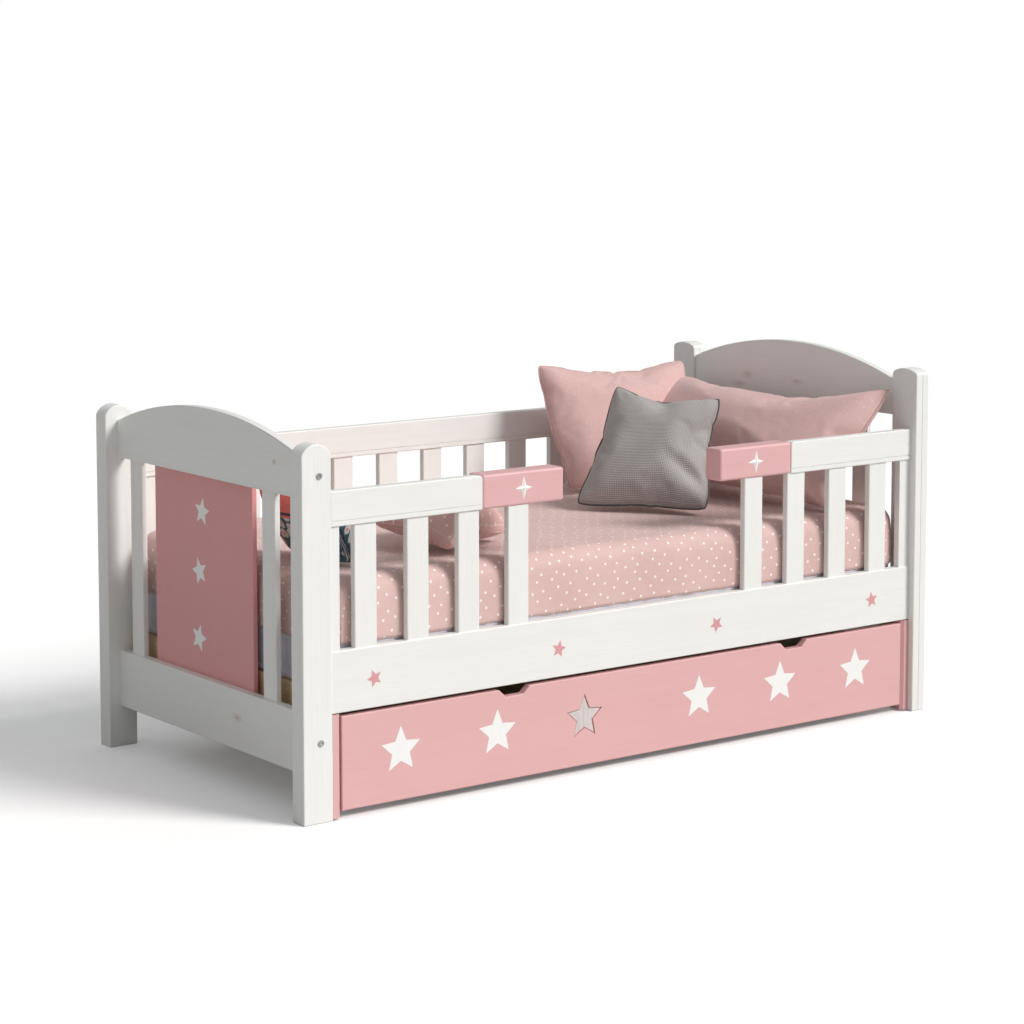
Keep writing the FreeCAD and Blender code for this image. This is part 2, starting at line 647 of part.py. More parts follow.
def panel_stars(label, x, z, plane_face):
    """Three inlaid stars one above the other, each turned a little differently."""
    stars = []
    for count, (height, side, turn) in enumerate(PANEL_STARS, 1):
        deep, high = ("star_deep", "star_proud") if plane_face == "-X" else ("star_proud", "star_deep")
        face = f"{x} + end_board_thick" + ("" if plane_face == "-X" else " + panel_thick - star_proud")
        stars.append(star(f"{label}_{count}", "YZ", "panel_star_radius",
                          (face, f"panel_shift + {side}", f"{z} + {height}"), deep, high, turn))
    return group(label, stars)


foot_arch = arch_board("foot_arch", FOOT_BOARDS, f"{FRONT} + foot_post_wide", ARCH_LOW, FOOT_SPAN)
foot_rail = board("foot_rail", ("end_board_thick", FOOT_SPAN, "end_rail_tall"),
                  (FOOT_BOARDS, f"{FRONT} + foot_post_wide", "end_rail_low"), ends="Y")
foot_slats = end_slats("foot_slats", FOOT_BOARDS, FOOT_OPENING)
foot_panel = star_panel("foot_star_panel", FOOT_BOARDS, FOOT_OPENING)
foot_panel_stars = panel_stars("foot_panel_stars", FOOT_BOARDS, FOOT_OPENING, "-X")

head_arch = arch_board("head_arch", HEAD_BOARDS, f"{HEAD_FRONT} + head_post_wide",
                       f"{ARCH_LOW} + head_raise", HEAD_SPAN)
head_rail = board("head_rail", ("end_board_thick", HEAD_SPAN, "end_rail_tall"),
                  (HEAD_BOARDS, f"{HEAD_FRONT} + head_post_wide", "end_rail_low + head_raise"), ends="Y")
head_slats = end_slats("head_slats", HEAD_BOARDS, HEAD_OPENING)
head_panel = star_panel("head_star_panel", HEAD_BOARDS, HEAD_OPENING)
head_panel_stars = panel_stars("head_panel_stars", HEAD_BOARDS, HEAD_OPENING, "+X")


# The side rails, guards and caps.

def side_y(side, inset, thick):
    """Low Y of a piece that lies inset from the side face of the foot posts."""
    return f"{FRONT} + {inset}" if side == "front" else f"{REAR} - {inset} - {thick}"


front_side_rail = board("front_side_rail", ("rail_length", "rail_thick", "rail_tall"),
                        (RAIL_FOOT, side_y("front", "rail_setback", "rail_thick"), "rail_low"), ends="X")
rear_side_rail = board("rear_side_rail", ("rail_length", "rail_thick", "rail_tall"),
                       (RAIL_FOOT, side_y("rear", "rail_setback", "rail_thick"), "rail_low"), ends="X")

SLAT_FRONT_Y = f"{FRONT} + {RAIL_MIDDLE} - slat_thick / 2"
SLAT_REAR_Y = f"{REAR} - {RAIL_MIDDLE} - slat_thick / 2"
SLAT_LOW = f"{RAIL_TOP} - tenon_long"


def end_strip(label, x, y, wide):
    """The narrow upright strip where a guard meets a post."""
    piece = new_body(label, x, y, SLAT_LOW)
    flat = draw(new_sketch(piece, "XY"), [
        ("0", "0"), (wide, "0"), (wide, "slat_thick"), ("0", "slat_thick")])
    pad(piece, flat, SLAT_LONG)
    return piece


foot_guard_slats = group("foot_guard_slats", [
    slat_row("foot_guard_row", (f"{RAIL_FOOT} + foot_slat_gap", SLAT_FRONT_Y, SLAT_LOW),
             "floor((foot_guard_reach - foot_slat_gap - slat_wide) / slat_pitch) + 1"),
    end_strip("foot_guard_strip", RAIL_FOOT, SLAT_FRONT_Y, "foot_strip_wide")])
head_guard_slats = group("head_guard_slats", [
    slat_row("head_guard_row", (f"{RAIL_HEAD} - head_slat_gap - slat_wide", SLAT_FRONT_Y, SLAT_LOW),
             "floor((head_guard_reach - head_slat_gap - slat_wide) / slat_pitch) + 1", reverse=True),
    end_strip("head_guard_strip", f"{RAIL_HEAD} - head_strip_wide", SLAT_FRONT_Y, "head_strip_wide")])
rear_guard_slats = group("rear_guard_slats", [
    slat_row("rear_guard_row", (f"{RAIL_FOOT} + rear_slat_gap", SLAT_REAR_Y, SLAT_LOW),
             "floor((rail_length - rear_slat_gap - slat_wide - rear_strip_wide) / slat_pitch) + 1"),
    end_strip("rear_guard_strip", f"{RAIL_HEAD} - rear_strip_wide", SLAT_REAR_Y, "rear_strip_wide")])


def guard_board(label, x, long, side, open_end):
    """A guard rail, with its upper corner rounded at the open end if it has one."""
    piece = new_body(label, x, side_y(side, GUARD_BACK, "guard_thick"), "guard_low")
    flat = draw(new_sketch(piece, "XY"), [
        ("0", "0"), (long, "0"), (long, "guard_thick"), ("0", "guard_thick")])
    pad(piece, flat, "guard_tall")
    top = number("guard_tall")
    if open_end:
        at = number(long) if open_end == "+X" else 0
        round_edges(piece, "guard_nose", lambda edge: (
            runs_along(edge, "Y") and lies_at(edge, "Z", top) and lies_at(edge, "X", at)))
    closed = {"+X": (0,), "-X": (number(long),), None: (0, number(long))}[open_end]
    round_edges(piece, "edge_round", lambda edge: not any(lies_at(edge, "X", value) for value in closed))
    return piece


def bead_lines(label, x, long, side):
    """The grooves above the bead on both faces of a guard rail."""
    near = side_y(side, GUARD_BACK, "guard_thick")
    size = (f"{long} + 2 * cut_over", "bead_depth", "bead_groove")
    start = f"{x} - cut_over"
    z = "guard_low + bead_tall"
    return [box(f"{label}_outer_groove", size, (start, near, z)),
            box(f"{label}_inner_groove", size, (start, f"{near} + guard_thick - bead_depth", z))]


def cap_block(label, x):
    """The thick rounded block that closes the open end of a guard."""
    return board(label, ("cap_long", "cap_deep", "guard_tall"),
                 (x, side_y("front", GUARD_BACK, "cap_deep"), "guard_low"), "cap_round")


FOOT_CAP_X = f"({RAIL_FOOT} + foot_guard_reach - cap_long)"
HEAD_CAP_X = f"({RAIL_HEAD} - head_guard_reach)"
HEAD_RAIL_X = f"({HEAD_CAP_X} + cap_long)"
FOOT_RAIL_LONG = "(foot_guard_reach - cap_long)"
HEAD_RAIL_LONG = "(head_guard_reach - cap_long)"
foot_guard_rail = guard_board("foot_guard_rail", RAIL_FOOT, FOOT_RAIL_LONG, "front", "+X")
head_guard_rail = guard_board("head_guard_rail", HEAD_RAIL_X, HEAD_RAIL_LONG, "front", "-X")
rear_guard_rail = guard_board("rear_guard_rail", RAIL_FOOT, "rail_length", "rear", None)
foot_guard_cap = cap_block("foot_guard_cap", FOOT_CAP_X)
head_guard_cap = cap_block("head_guard_cap", HEAD_CAP_X)


def cap_star(label, x):
    """A four-pointed star whose facets rise to a point, set in the face of a cap."""
    face = f"{FRONT} + {GUARD_BACK}"
    piece = new_body(label, x, face, "guard_low + guard_tall / 2")
    rays = [("0", "1"), ("-1", "0"), ("0", "-1"), ("1", "0")]
    levels = (("base", "0 - star_deep", "1"), ("face", "0", "1"), ("ridge", "cap_star_proud", "0.06"))
    sections = []
    for name, level, share in levels:
        corners = []
        for ray in range(4):
            long = "cap_star_tall" if ray % 2 == 0 else "cap_star_wide"
            corners.append((f"{share} * {long} * cos({90 + 90 * ray}deg)",
                            f"{share} * {long} * sin({90 + 90 * ray}deg)"))
            corners.append((f"{share} * cap_star_waist * cos({135 + 90 * ray}deg)",
                            f"{share} * cap_star_waist * sin({135 + 90 * ray}deg)"))
        flat = draw(new_sketch(piece, "XZ", name), corners)
        flat.AttachmentOffset = FreeCAD.Placement()
        bind(flat, "AttachmentOffset.Base.z", level)
        sections.append(flat)
    DOC.recompute()
    loft = piece.newObject("PartDesign::AdditiveLoft", f"{label}_loft")
    loft.Profile = sections[0]
    loft.Sections = sections[1:]
    loft.Ruled = True
    return piece


guard_cap_stars = group("guard_cap_stars", [
    cap_star("foot_cap_star", f"{FOOT_CAP_X} + cap_long - cap_star_place"),
    cap_star("head_cap_star", f"{HEAD_CAP_X} + cap_star_place")])

# Star inlays along the rail and the drawer: place from the middle of the bed's rails, and turn.
RAIL_CENTRE = f"({RAIL_FOOT} + rail_length / 2)"
RAIL_STARS = ((-704, 20), (-233, -12), (209, 30), (685, 8))
DRAWER_STARS = ((-640, 0), (-395, 0), (160, 0), (401, 0), (635, 0))
SUNK_STAR = -162
rail_star_list = [
    star(f"rail_star_{count}", "XZ", "rail_star_radius",
         (f"{RAIL_CENTRE} + {across}", f"{FRONT} + rail_setback",
          f"{RAIL_TOP} - rail_tall / 2 - rail_star_drop"),
         "star_deep", "star_proud", turn)
    for count, (across, turn) in enumerate(RAIL_STARS, 1)]
front_rail_stars = group("front_rail_stars", rail_star_list)
DRAWER_STAR_Z = f"((drawer_front_low + {DRAWER_TOP}) / 2 + drawer_star_rise)"
drawer_star_list = [
    star(f"drawer_star_{count}", "XZ", "drawer_star_radius",
         (f"{RAIL_CENTRE} + {across}", DRAWER_FACE, DRAWER_STAR_Z), "star_deep", "star_proud", turn)
    for count, (across, turn) in enumerate(DRAWER_STARS, 1)]
drawer_stars = group("drawer_stars", drawer_star_list)
SUNK_AT = (f"{RAIL_CENTRE} + {SUNK_STAR}", DRAWER_FACE, DRAWER_STAR_Z)
star_recess = star("star_recess", "XZ", "recess_radius", SUNK_AT, "recess_deep", "star_proud")
drawer_sunk_star = star("drawer_sunk_star", "XZ", "recess_star_radius", SUNK_AT,
                        "recess_deep", "0 - recess_deep + star_deep")


# The mattress support.

def ledger(label, side):
    """The strip that the base slats rest on."""
    inset = "(rail_setback + rail_thick)"
    return board(label, ("rail_length - 2 * ledger_gap", "ledger_thick", "ledger_tall"),
                 (f"{RAIL_FOOT} + ledger_gap", side_y(side, inset, "ledger_thick"), "rail_low"),
                 "slat_round / 3")


front_ledger = ledger("front_ledger", "front")
rear_ledger = ledger("rear_ledger", "rear")


def bearer(label, x):
    """The strip on edge between the posts that carries an outer base slat."""
    return board(label, ("bearer_thick", f"{INNER_WIDE} - 2 * ledger_thick", "bearer_tall"),
                 (x, f"{INNER_FRONT} + ledger_thick", f"{BASE_LOW} - bearer_tall"), "slat_round / 3", ends="Y")


end_bearers = group("end_bearers", [
    bearer("foot_bearer", f"{RAIL_FOOT} + base_slat_start"),
    bearer("head_bearer", f"{RAIL_FOOT} + base_slat_start + ({BASE_SLATS} - 1) * base_slat_pitch"
                          " + base_slat_wide - bearer_thick")])
base_slat_row = new_body("base_slats", f"{RAIL_FOOT} + base_slat_start", f"{INNER_FRONT} + base_slat_play",
                         BASE_LOW)
pad(base_slat_row, draw(new_sketch(base_slat_row, "XY"), [
    ("0", "0"), ("base_slat_wide", "0"), ("base_slat_wide", f"{INNER_WIDE} - 2 * base_slat_play"),
    ("0", f"{INNER_WIDE} - 2 * base_slat_play")]), "base_slat_thick")
repeat(base_slat_row, "H_Axis", "base_slat_pitch", BASE_SLATS)


# The drawer.

def batten(label, x, bevel_at):
    """The upright batten beside a post that closes the drawer's side, bevelled towards the drawer."""
    piece = new_body(label, x, f"{FRONT} + batten_setback", "batten_low")
    flat = draw(new_sketch(piece, "XY"), [
        ("0", "0"), ("batten_wide", "0"), ("batten_wide", "batten_deep"), ("0", "batten_deep")])
    pad(piece, flat, "rail_low - batten_low - batten_top_gap")
    at = number(bevel_at)
    bevel_edges(piece, "batten_bevel",
                lambda edge: runs_along(edge, "Z") and lies_at(edge, "Y", 0) and lies_at(edge, "X", at))
    return piece


foot_batten = batten("foot_batten", RAIL_FOOT, "batten_wide")
head_batten = batten("head_batten", f"{RAIL_HEAD} - batten_wide", "0")

drawer_front = new_body("drawer_front", DRAWER_LEFT, DRAWER_FACE, "drawer_front_low")
FRONT_TALL = f"({DRAWER_TOP} - drawer_front_low)"
front_outline = [("0", "0"), (DRAWER_WIDE, "0"), (DRAWER_WIDE, FRONT_TALL)]
for notch_place in ("head_notch_place", "foot_notch_place"):
    middle = f"({notch_place} - batten_wide - drawer_gap)"
    front_outline += [(f"{middle} + notch_wide / 2", FRONT_TALL),
                      (f"{middle} + notch_floor / 2", f"{FRONT_TALL} - notch_deep"),
                      (f"{middle} - notch_floor / 2", f"{FRONT_TALL} - notch_deep"),
                      (f"{middle} - notch_wide / 2", FRONT_TALL)]
front_outline.append(("0", FRONT_TALL))
pad(drawer_front, draw(new_sketch(drawer_front, "XZ"), front_outline), "drawer_front_thick", reverse=True)
round_edges(drawer_front, "notch_round",
            lambda edge: runs_along(edge, "Y") and 5 < edge.BoundBox.XMin < number(DRAWER_WIDE) - 5)
round_edges(drawer_front, "edge_round - 0.5", lambda edge: lies_at(edge, "Y", 0))

SIDE_DEEP = "(drawer_depth - drawer_front_thick)"
SIDE_FRONT = f"({DRAWER_FACE} + drawer_front_thick)"
FOOT_SIDE_X = f"({DRAWER_LEFT} + drawer_side_inset)"
HEAD_SIDE_X = f"({DRAWER_LEFT} + {DRAWER_WIDE} - drawer_side_inset - drawer_side_thick)"
BOX_X = f"({FOOT_SIDE_X} + drawer_side_thick)"
BOX_WIDE = f"({DRAWER_WIDE} - 2 * drawer_side_inset - 2 * drawer_side_thick)"
drawer_side_foot = board("drawer_side_foot", ("drawer_side_thick", SIDE_DEEP, "drawer_side_tall"),
                         (FOOT_SIDE_X, SIDE_FRONT, "drawer_side_low"), ends="Y", radius="slat_round / 2")
drawer_side_head = board("drawer_side_head", ("drawer_side_thick", SIDE_DEEP, "drawer_side_tall"),
                         (HEAD_SIDE_X, SIDE_FRONT, "drawer_side_low"), ends="Y", radius="slat_round / 2")
drawer_back = board("drawer_back", (BOX_WIDE, "drawer_side_thick", "drawer_side_tall"),
                    (BOX_X, f"{DRAWER_BACK} - drawer_side_thick", "drawer_side_low"), ends="X",
                    radius="slat_round / 2")
drawer_bottom = board("drawer_bottom", (
    f"{BOX_WIDE} + 2 * drawer_groove", f"{SIDE_DEEP} - drawer_side_thick + 2 * drawer_groove",
    "drawer_bottom_thick"),
    (f"{BOX_X} - drawer_groove", f"{SIDE_FRONT} - drawer_groove", DRAWER_FLOOR), "slat_round / 6")

# The castors: a folded fork under the drawer bottom, a riveted axle and a wheel.
CASTORS = {
    "front_foot": (f"{DRAWER_LEFT} + castor_in", f"{DRAWER_FACE} + castor_front"),
    "front_head": (f"{DRAWER_LEFT} + {DRAWER_WIDE} - castor_in", f"{DRAWER_FACE} + castor_front"),
    "rear_foot": (f"{DRAWER_LEFT} + castor_in", f"{DRAWER_BACK} - castor_back"),
    "rear_head": (f"{DRAWER_LEFT} + {DRAWER_WIDE} - castor_in", f"{DRAWER_BACK} - castor_back"),
}
LEG_IN = "(wheel_wide / 2 + wheel_play)"
LEG_OUT = f"({LEG_IN} + fork_plate)"
FLANGE_OUT = f"({LEG_OUT} + fork_flange)"


def castor_fork(name, x, y):
    """A fork folded from sheet: two flanges, a plate and two legs."""
    piece = new_body(f"fork_{name}", x, f"{y} - fork_deep / 2", "0")
    top = DRAWER_FLOOR
    plate = f"({top} - fork_plate)"
    foot = "(wheel_radius - fork_below_axle)"
    right = [(FLANGE_OUT, top), (FLANGE_OUT, plate), (LEG_OUT, plate), (LEG_OUT, foot), (LEG_IN, foot),
             (LEG_IN, plate)]
    left = [(f"0 - {across}", up) for across, up in reversed(right)]
    flat = draw(new_sketch(piece, "XZ"), list(reversed(left + right)))
    pad(piece, flat, "fork_deep", reverse=True)
    return piece


def castor_axle(name, x, y):
    """A plain axle with a riveted head outside each leg."""
    reach = f"({LEG_OUT} + axle_head)"
    height = "wheel_radius"
    shaft = rod(f"shaft_{name}", "axle_radius", f"2 * {LEG_OUT}", (f"{x} - {LEG_OUT}", y, height), "X")
    near = rod(f"rivet_near_{name}", "axle_head_radius", "axle_head", (f"{x} - {reach}", y, height), "X")
    far = rod(f"rivet_far_{name}", "axle_head_radius", "axle_head", (f"{x} + {LEG_OUT}", y, height), "X")
    whole = DOC.addObject("Part::MultiFuse", f"axle_{name}")
    whole.Shapes = [shaft, near, far]
    return whole, shaft


def castor_wheel(name, x, y):
    """A solid wheel with a plain bore and an eased tread."""
    piece = new_body(f"drawer_wheel_{name}", f"{x} - wheel_wide / 2", y, "wheel_radius")
    pad(piece, draw_circle(new_sketch(piece, "YZ"), "0", "0", "wheel_radius"), "wheel_wide")
    round_edges(piece, "wheel_round")
    bore = draw_circle(new_sketch(piece, "YZ", "bore"), "0", "0", "axle_radius + axle_play")
    pocket(piece, bore, "wheel_wide", reverse=True)
    return piece


forks = []
axles = []
shafts = []
wheels = []
castor_screw_list = []
for castor_name, (castor_x, castor_y) in CASTORS.items():
    forks.append(castor_fork(castor_name, castor_x, castor_y))
    axle, shaft = castor_axle(castor_name, castor_x, castor_y)
    axles.append(axle)
    shafts.append(shaft)
    wheels.append(castor_wheel(castor_name, castor_x, castor_y))
    for side_name, side_sign in (("left", "-"), ("right", "+")):
        castor_screw_list.append(screw(
            f"castor_screw_{castor_name}_{side_name}",
            (f"{castor_x} {side_sign} ({LEG_OUT} + fork_flange / 2)", castor_y,
             f"{DRAWER_FLOOR} - fork_plate"),
            "Z", "castor_screw_long", radius="screw_radius * 0.8"))
castor_axles = group("castor_axles", axles)
castor_screws = group("castor_screws", castor_screw_list)
castor_forks = cut("castor_forks", group("castor_forks_blank", forks), shafts + castor_screw_list)


# Fastenings.

def end_bolt(name, z, side):
    """A flat-headed bolt through a foot post into the end of a board."""
    outer = FRONT if side == "front" else REAR
    axis = "Y" if side == "front" else "-Y"
    x = f"{FOOT_BOARDS} + end_board_thick / 2"
    whole = screw(f"bolt_blank_{name}", (x, outer, z), axis, "bolt_long", "bolt_radius", "bolt_head_radius",
                  "bolt_head_thick")
    out = "- bolt_head_thick" if side == "front" else "+ bolt_head_thick"
    socket = rod(f"socket_{name}", "bolt_socket_radius", "bolt_socket_deep", (x, f"{outer} {out}", z), axis)
    return cut(f"bolt_{name}", whole, [socket]), whole


def barrel_nut(name, z, side):
    """The cross nut in the board that an end bolt screws into."""
    reach = "(foot_post_wide + nut_reach)"
    y = f"{FRONT} + {reach}" if side == "front" else f"{REAR} - {reach}"
    return rod(f"nut_{name}", "nut_radius", "end_board_thick - 2 * nut_margin",
               (f"{FOOT_BOARDS} + nut_margin", y, z), "X")


bolts = {}
bolt_blanks = {}
nuts = {}
BOLT_LEVELS = (("arch", f"{ARCH_LOW} + bolt_arch_rise"), ("rail", "end_rail_low + bolt_rail_rise"))
for bolt_side in ("front", "rear"):
    for bolt_level, bolt_z in BOLT_LEVELS:
        key = f"{bolt_level}_{bolt_side}"
        bolts[key], bolt_blanks[key] = end_bolt(key, bolt_z, bolt_side)
        nuts[key] = barrel_nut(key, bolt_z, bolt_side)
end_bolts = group("end_bolts", list(bolts.values()))
barrel_nuts = cut("barrel_nuts", group("barrel_nuts_blank", list(nuts.values())),
                  list(bolt_blanks.values()))

HEAD_BOARD_X = f"{HEAD_BOARDS} + end_board_thick / 2"
dowels = {}
for dowel_side, joint_y in (("front", f"{HEAD_FRONT} + head_post_wide"), ("rear", HEAD_REAR)):
    for dowel_level, low, tall in (("arch", f"{ARCH_LOW} + head_raise", "arch_end_tall"),
                                   ("rail", "end_rail_low + head_raise", "end_rail_tall")):
        for edge_name, dowel_z in (("low", f"{low} + dowel_inset"),
                                   ("high", f"{low} + {tall} - dowel_inset")):
            dowel_key = f"{dowel_level}_{dowel_side}_{edge_name}"
            dowels[dowel_key] = rod(f"dowel_{dowel_key}", "dowel_radius", "2 * dowel_half",
                                    (HEAD_BOARD_X, f"{joint_y} - dowel_half", dowel_z), "Y")
GUARD_MIDDLE = f"{FRONT} + {RAIL_MIDDLE}"
for cap_name, cap_joint in (("foot", FOOT_CAP_X), ("head", HEAD_RAIL_X)):
    for edge_name, dowel_z in (("low", "guard_low + dowel_inset"),
                               ("high", "guard_low + guard_tall - dowel_inset")):
        dowel_key = f"cap_{cap_name}_{edge_name}"
        dowels[dowel_key] = rod(f"dowel_{dowel_key}", "dowel_radius", "2 * dowel_half",
                                (f"{cap_joint} - dowel_half", GUARD_MIDDLE, dowel_z), "X")
joint_dowels = group("joint_dowels", list(dowels.values()))


def picked(pieces, *words):
    """The pieces whose key holds every one of the words."""
    return [piece for key, piece in pieces.items() if all(word in key for word in words)]


# Corner brackets: an angle drawn once, and turned half round for each other corner.
BRACKET_MIDDLE = "(rail_low + bracket_rise + bracket_tall / 2)"
BRACKET_TURNS = {
    "foot_front": ((0, 0, 1), "0", RAIL_FOOT, INNER_FRONT),
    "foot_rear": ((1, 0, 0), "180", RAIL_FOOT, f"0 - {INNER_FRONT}"),
    "head_front": ((0, 1, 0), "180", RAIL_HEAD, INNER_FRONT),
    "head_rear": ((0, 0, 1), "180", RAIL_HEAD, f"0 - {INNER_FRONT}"),
}
brackets = []
rail_screws = {}
post_screws = {}
for corner_name, (turn_axis, turn_angle, corner_x, corner_y) in BRACKET_TURNS.items():
    angle_piece = new_body(f"bracket_{corner_name}", corner_x, corner_y, BRACKET_MIDDLE,
                           turn_axis, turn_angle)
    angle_flat = draw(new_sketch(angle_piece, "XY"), [
        ("0", "0"), ("bracket_leg", "0"), ("bracket_leg", "bracket_plate"),
        ("bracket_plate", "bracket_plate"), ("bracket_plate", "bracket_foot"), ("0", "bracket_foot")])
    angle_pad = pad(angle_piece, angle_flat, "bracket_tall")
    angle_pad.Midplane = True
    brackets.append(angle_piece)
    towards_x = "+" if "foot" in corner_name else "-"
    towards_y = "+" if "front" in corner_name else "-"
    into_rail = "-Y" if "front" in corner_name else "Y"
    into_post = "-X" if "foot" in corner_name else "X"
    for level_name, level in (("low", "-"), ("high", "+")):
        screw_z = f"{BRACKET_MIDDLE} {level} (bracket_tall / 2 - bracket_screw_in)"
        rail_key = f"{corner_name}_{level_name}"
        rail_screws[rail_key] = screw(
            f"rail_screw_{rail_key}",
            (f"{corner_x} {towards_x} (bracket_leg - bracket_screw_in)",
             f"{corner_y} {towards_y} bracket_plate", screw_z), into_rail, "bracket_screw_long")
        post_screws[rail_key] = screw(
            f"post_screw_{rail_key}",
            (f"{corner_x} {towards_x} bracket_plate",
             f"{corner_y} {towards_y} (bracket_foot + bracket_plate) / 2", screw_z),
            into_post, "bracket_screw_long")
bracket_screw_list = list(rail_screws.values()) + list(post_screws.values())
bracket_screws = group("bracket_screws", bracket_screw_list)
corner_brackets = cut("corner_brackets", group("corner_brackets_blank", brackets), bracket_screw_list)


def screw_row(label, at, axis, length, pitch, count):
    """A row of screws along the bed; each screw goes down (-Z), or across the bed."""
    piece = new_body(label, *at)
    plane = "XY" if axis == "-Z" else "XZ"
    shank = draw_circle(new_sketch(piece, plane, "shank"), "0", "0", "screw_radius")
    head = draw_circle(new_sketch(piece, plane, "head"), "0", "0", "screw_head_radius")
    shank_pad = pad(piece, shank, length, reverse=(axis != "-Y"))
    head_pad = pad(piece, head, "screw_head_thick", reverse=(axis == "-Y"))
    row_of = piece.newObject("PartDesign::LinearPattern", f"{label}_row")
    row_of.Originals = [shank_pad, head_pad]
    row_of.Direction = (shank, ["H_Axis"])
    row_of.Mode = "Spacing"
    bind(row_of, "Offset", pitch)
    bind(row_of, "Occurrences", count)
    piece.Tip = row_of
    return piece


base_screw_rows = {}
ledger_screw_rows = {}
for row_side, row_sign in (("front", "+"), ("rear", "-")):
    edge_y = INNER_FRONT if row_side == "front" else f"(0 - {INNER_FRONT})"
    base_screw_rows[row_side] = screw_row(
        f"base_screws_{row_side}",
        (f"{RAIL_FOOT} + base_slat_start + base_slat_wide / 2", f"{edge_y} {row_sign} ledger_thick / 2",
         f"{BASE_LOW} + base_slat_thick - screw_head_thick"),
        "-Z", "base_screw_long", "base_slat_pitch", BASE_SLATS)
    ledger_screw_rows[row_side] = screw_row(
        f"ledger_screws_{row_side}",
        (f"{RAIL_FOOT} + ledger_screw_start", f"{edge_y} {row_sign} ledger_thick",
         "rail_low + ledger_tall / 2"),
        "-Y" if row_side == "front" else "Y", "ledger_screw_long", "2 * base_slat_pitch",
        f"floor({BASE_SLATS} / 2)")
base_slat_screws = group("base_slat_screws", list(base_screw_rows.values()))
ledger_screws = group("ledger_screws", list(ledger_screw_rows.values()))


def panel_screw_set(name, x, z, sunk):
    """Four screws that hold a star panel to its rail and its arch board, heads sunk into it or on it."""
    found = {}
    for across_name, across in (("front", "-"), ("rear", "+")):
        for level_name, level in (("rail", f"{z} - panel_lap / 2"),
                                  ("arch", f"{z} + end_opening_tall + panel_lap / 2")):
            key_of = f"{name}_{level_name}_{across_name}"
            found[key_of] = screw(
                f"panel_screw_{key_of}",
                (f"{x} + end_board_thick + panel_thick - {sunk}",
                 f"panel_shift {across} (panel_wide / 2 - panel_screw_in)", level), "-X", "panel_screw_long")
    return found


panel_screw_pieces = {**panel_screw_set("foot", FOOT_BOARDS, FOOT_OPENING, "0"),
                      **panel_screw_set("head", HEAD_BOARDS, HEAD_OPENING, "screw_head_thick")}
panel_screws = group("panel_screws", list(panel_screw_pieces.values()))

# Joinery: each board gives up the space of what is let into it.
post_screw_at = {name: picked(post_screws, name) for name in BRACKET_TURNS}
rail_screw_at = {name: picked(rail_screws, name) for name in BRACKET_TURNS}
foot_post_front = cut("foot_post_front", foot_post_front,
                      picked(bolt_blanks, "front") + post_screw_at["foot_front"])
foot_post_rear = cut("foot_post_rear", foot_post_rear,
                     picked(bolt_blanks, "rear") + post_screw_at["foot_rear"])
head_post_front = cut("head_post_front", head_post_front,
                      head_front_lines + picked(dowels, "arch_front") + picked(dowels, "rail_front")
                      + post_screw_at["head_front"])
head_post_rear = cut("head_post_rear", head_post_rear,
                     head_rear_lines + picked(dowels, "arch_rear") + picked(dowels, "rail_rear")
                     + post_screw_at["head_rear"])
foot_arch = cut("foot_arch", foot_arch, [foot_slats] + picked(bolt_blanks, "arch") + picked(nuts, "arch")
                + picked(panel_screw_pieces, "foot_arch"))
foot_rail = cut("foot_rail", foot_rail, [foot_slats] + picked(bolt_blanks, "rail") + picked(nuts, "rail")
                + picked(panel_screw_pieces, "foot_rail"))
head_arch = cut("head_arch", head_arch, [head_slats] + picked(dowels, "arch")
                + picked(panel_screw_pieces, "head_arch"))
head_rail = cut("head_rail", head_rail, [head_slats] + picked(dowels, "rail")
                + picked(panel_screw_pieces, "head_rail"))
foot_panel = cut("foot_star_panel", foot_panel, [foot_panel_stars] + picked(panel_screw_pieces, "foot"))
head_panel = cut("head_star_panel", head_panel, [head_panel_stars] + picked(panel_screw_pieces, "head"))
front_side_rail = cut("front_side_rail", front_side_rail, [
    foot_guard_slats, head_guard_slats, front_rail_stars, ledger_screw_rows["front"]]
    + rail_screw_at["foot_front"] + rail_screw_at["head_front"])
rear_side_rail = cut("rear_side_rail", rear_side_rail, [rear_guard_slats, ledger_screw_rows["rear"]]
                     + rail_screw_at["foot_rear"] + rail_screw_at["head_rear"])
foot_guard_rail = cut("foot_guard_rail", foot_guard_rail, [foot_guard_slats] + picked(dowels, "cap_foot")
                      + bead_lines("foot_guard", RAIL_FOOT, FOOT_RAIL_LONG, "front"))
head_guard_rail = cut("head_guard_rail", head_guard_rail, [head_guard_slats] + picked(dowels, "cap_head")
                      + bead_lines("head_guard", HEAD_RAIL_X, HEAD_RAIL_LONG, "front"))
rear_guard_rail = cut("rear_guard_rail", rear_guard_rail, [rear_guard_slats]
                      + bead_lines("rear_guard", RAIL_FOOT, "rail_length", "rear"))
foot_guard_cap = cut("foot_guard_cap", foot_guard_cap,
                     [foot_guard_slats, guard_cap_stars] + picked(dowels, "cap_foot"))
head_guard_cap = cut("head_guard_cap", head_guard_cap,
                     [head_guard_slats, guard_cap_stars] + picked(dowels, "cap_head"))
front_ledger = cut("front_ledger", front_ledger, [base_screw_rows["front"], ledger_screw_rows["front"]])
rear_ledger = cut("rear_ledger", rear_ledger, [base_screw_rows["rear"], ledger_screw_rows["rear"]])
base_slats = cut("base_slats", base_slat_row, list(base_screw_rows.values()))
drawer_front = cut("drawer_front", drawer_front, [drawer_bottom, drawer_stars, star_recess])
drawer_side_foot = cut("drawer_side_foot", drawer_side_foot, [drawer_bottom])
drawer_side_head = cut("drawer_side_head", drawer_side_head, [drawer_bottom])
drawer_back = cut("drawer_back", drawer_back, [drawer_bottom])
drawer_bottom = cut("drawer_bottom", drawer_bottom, [castor_screws])


# Bedding.

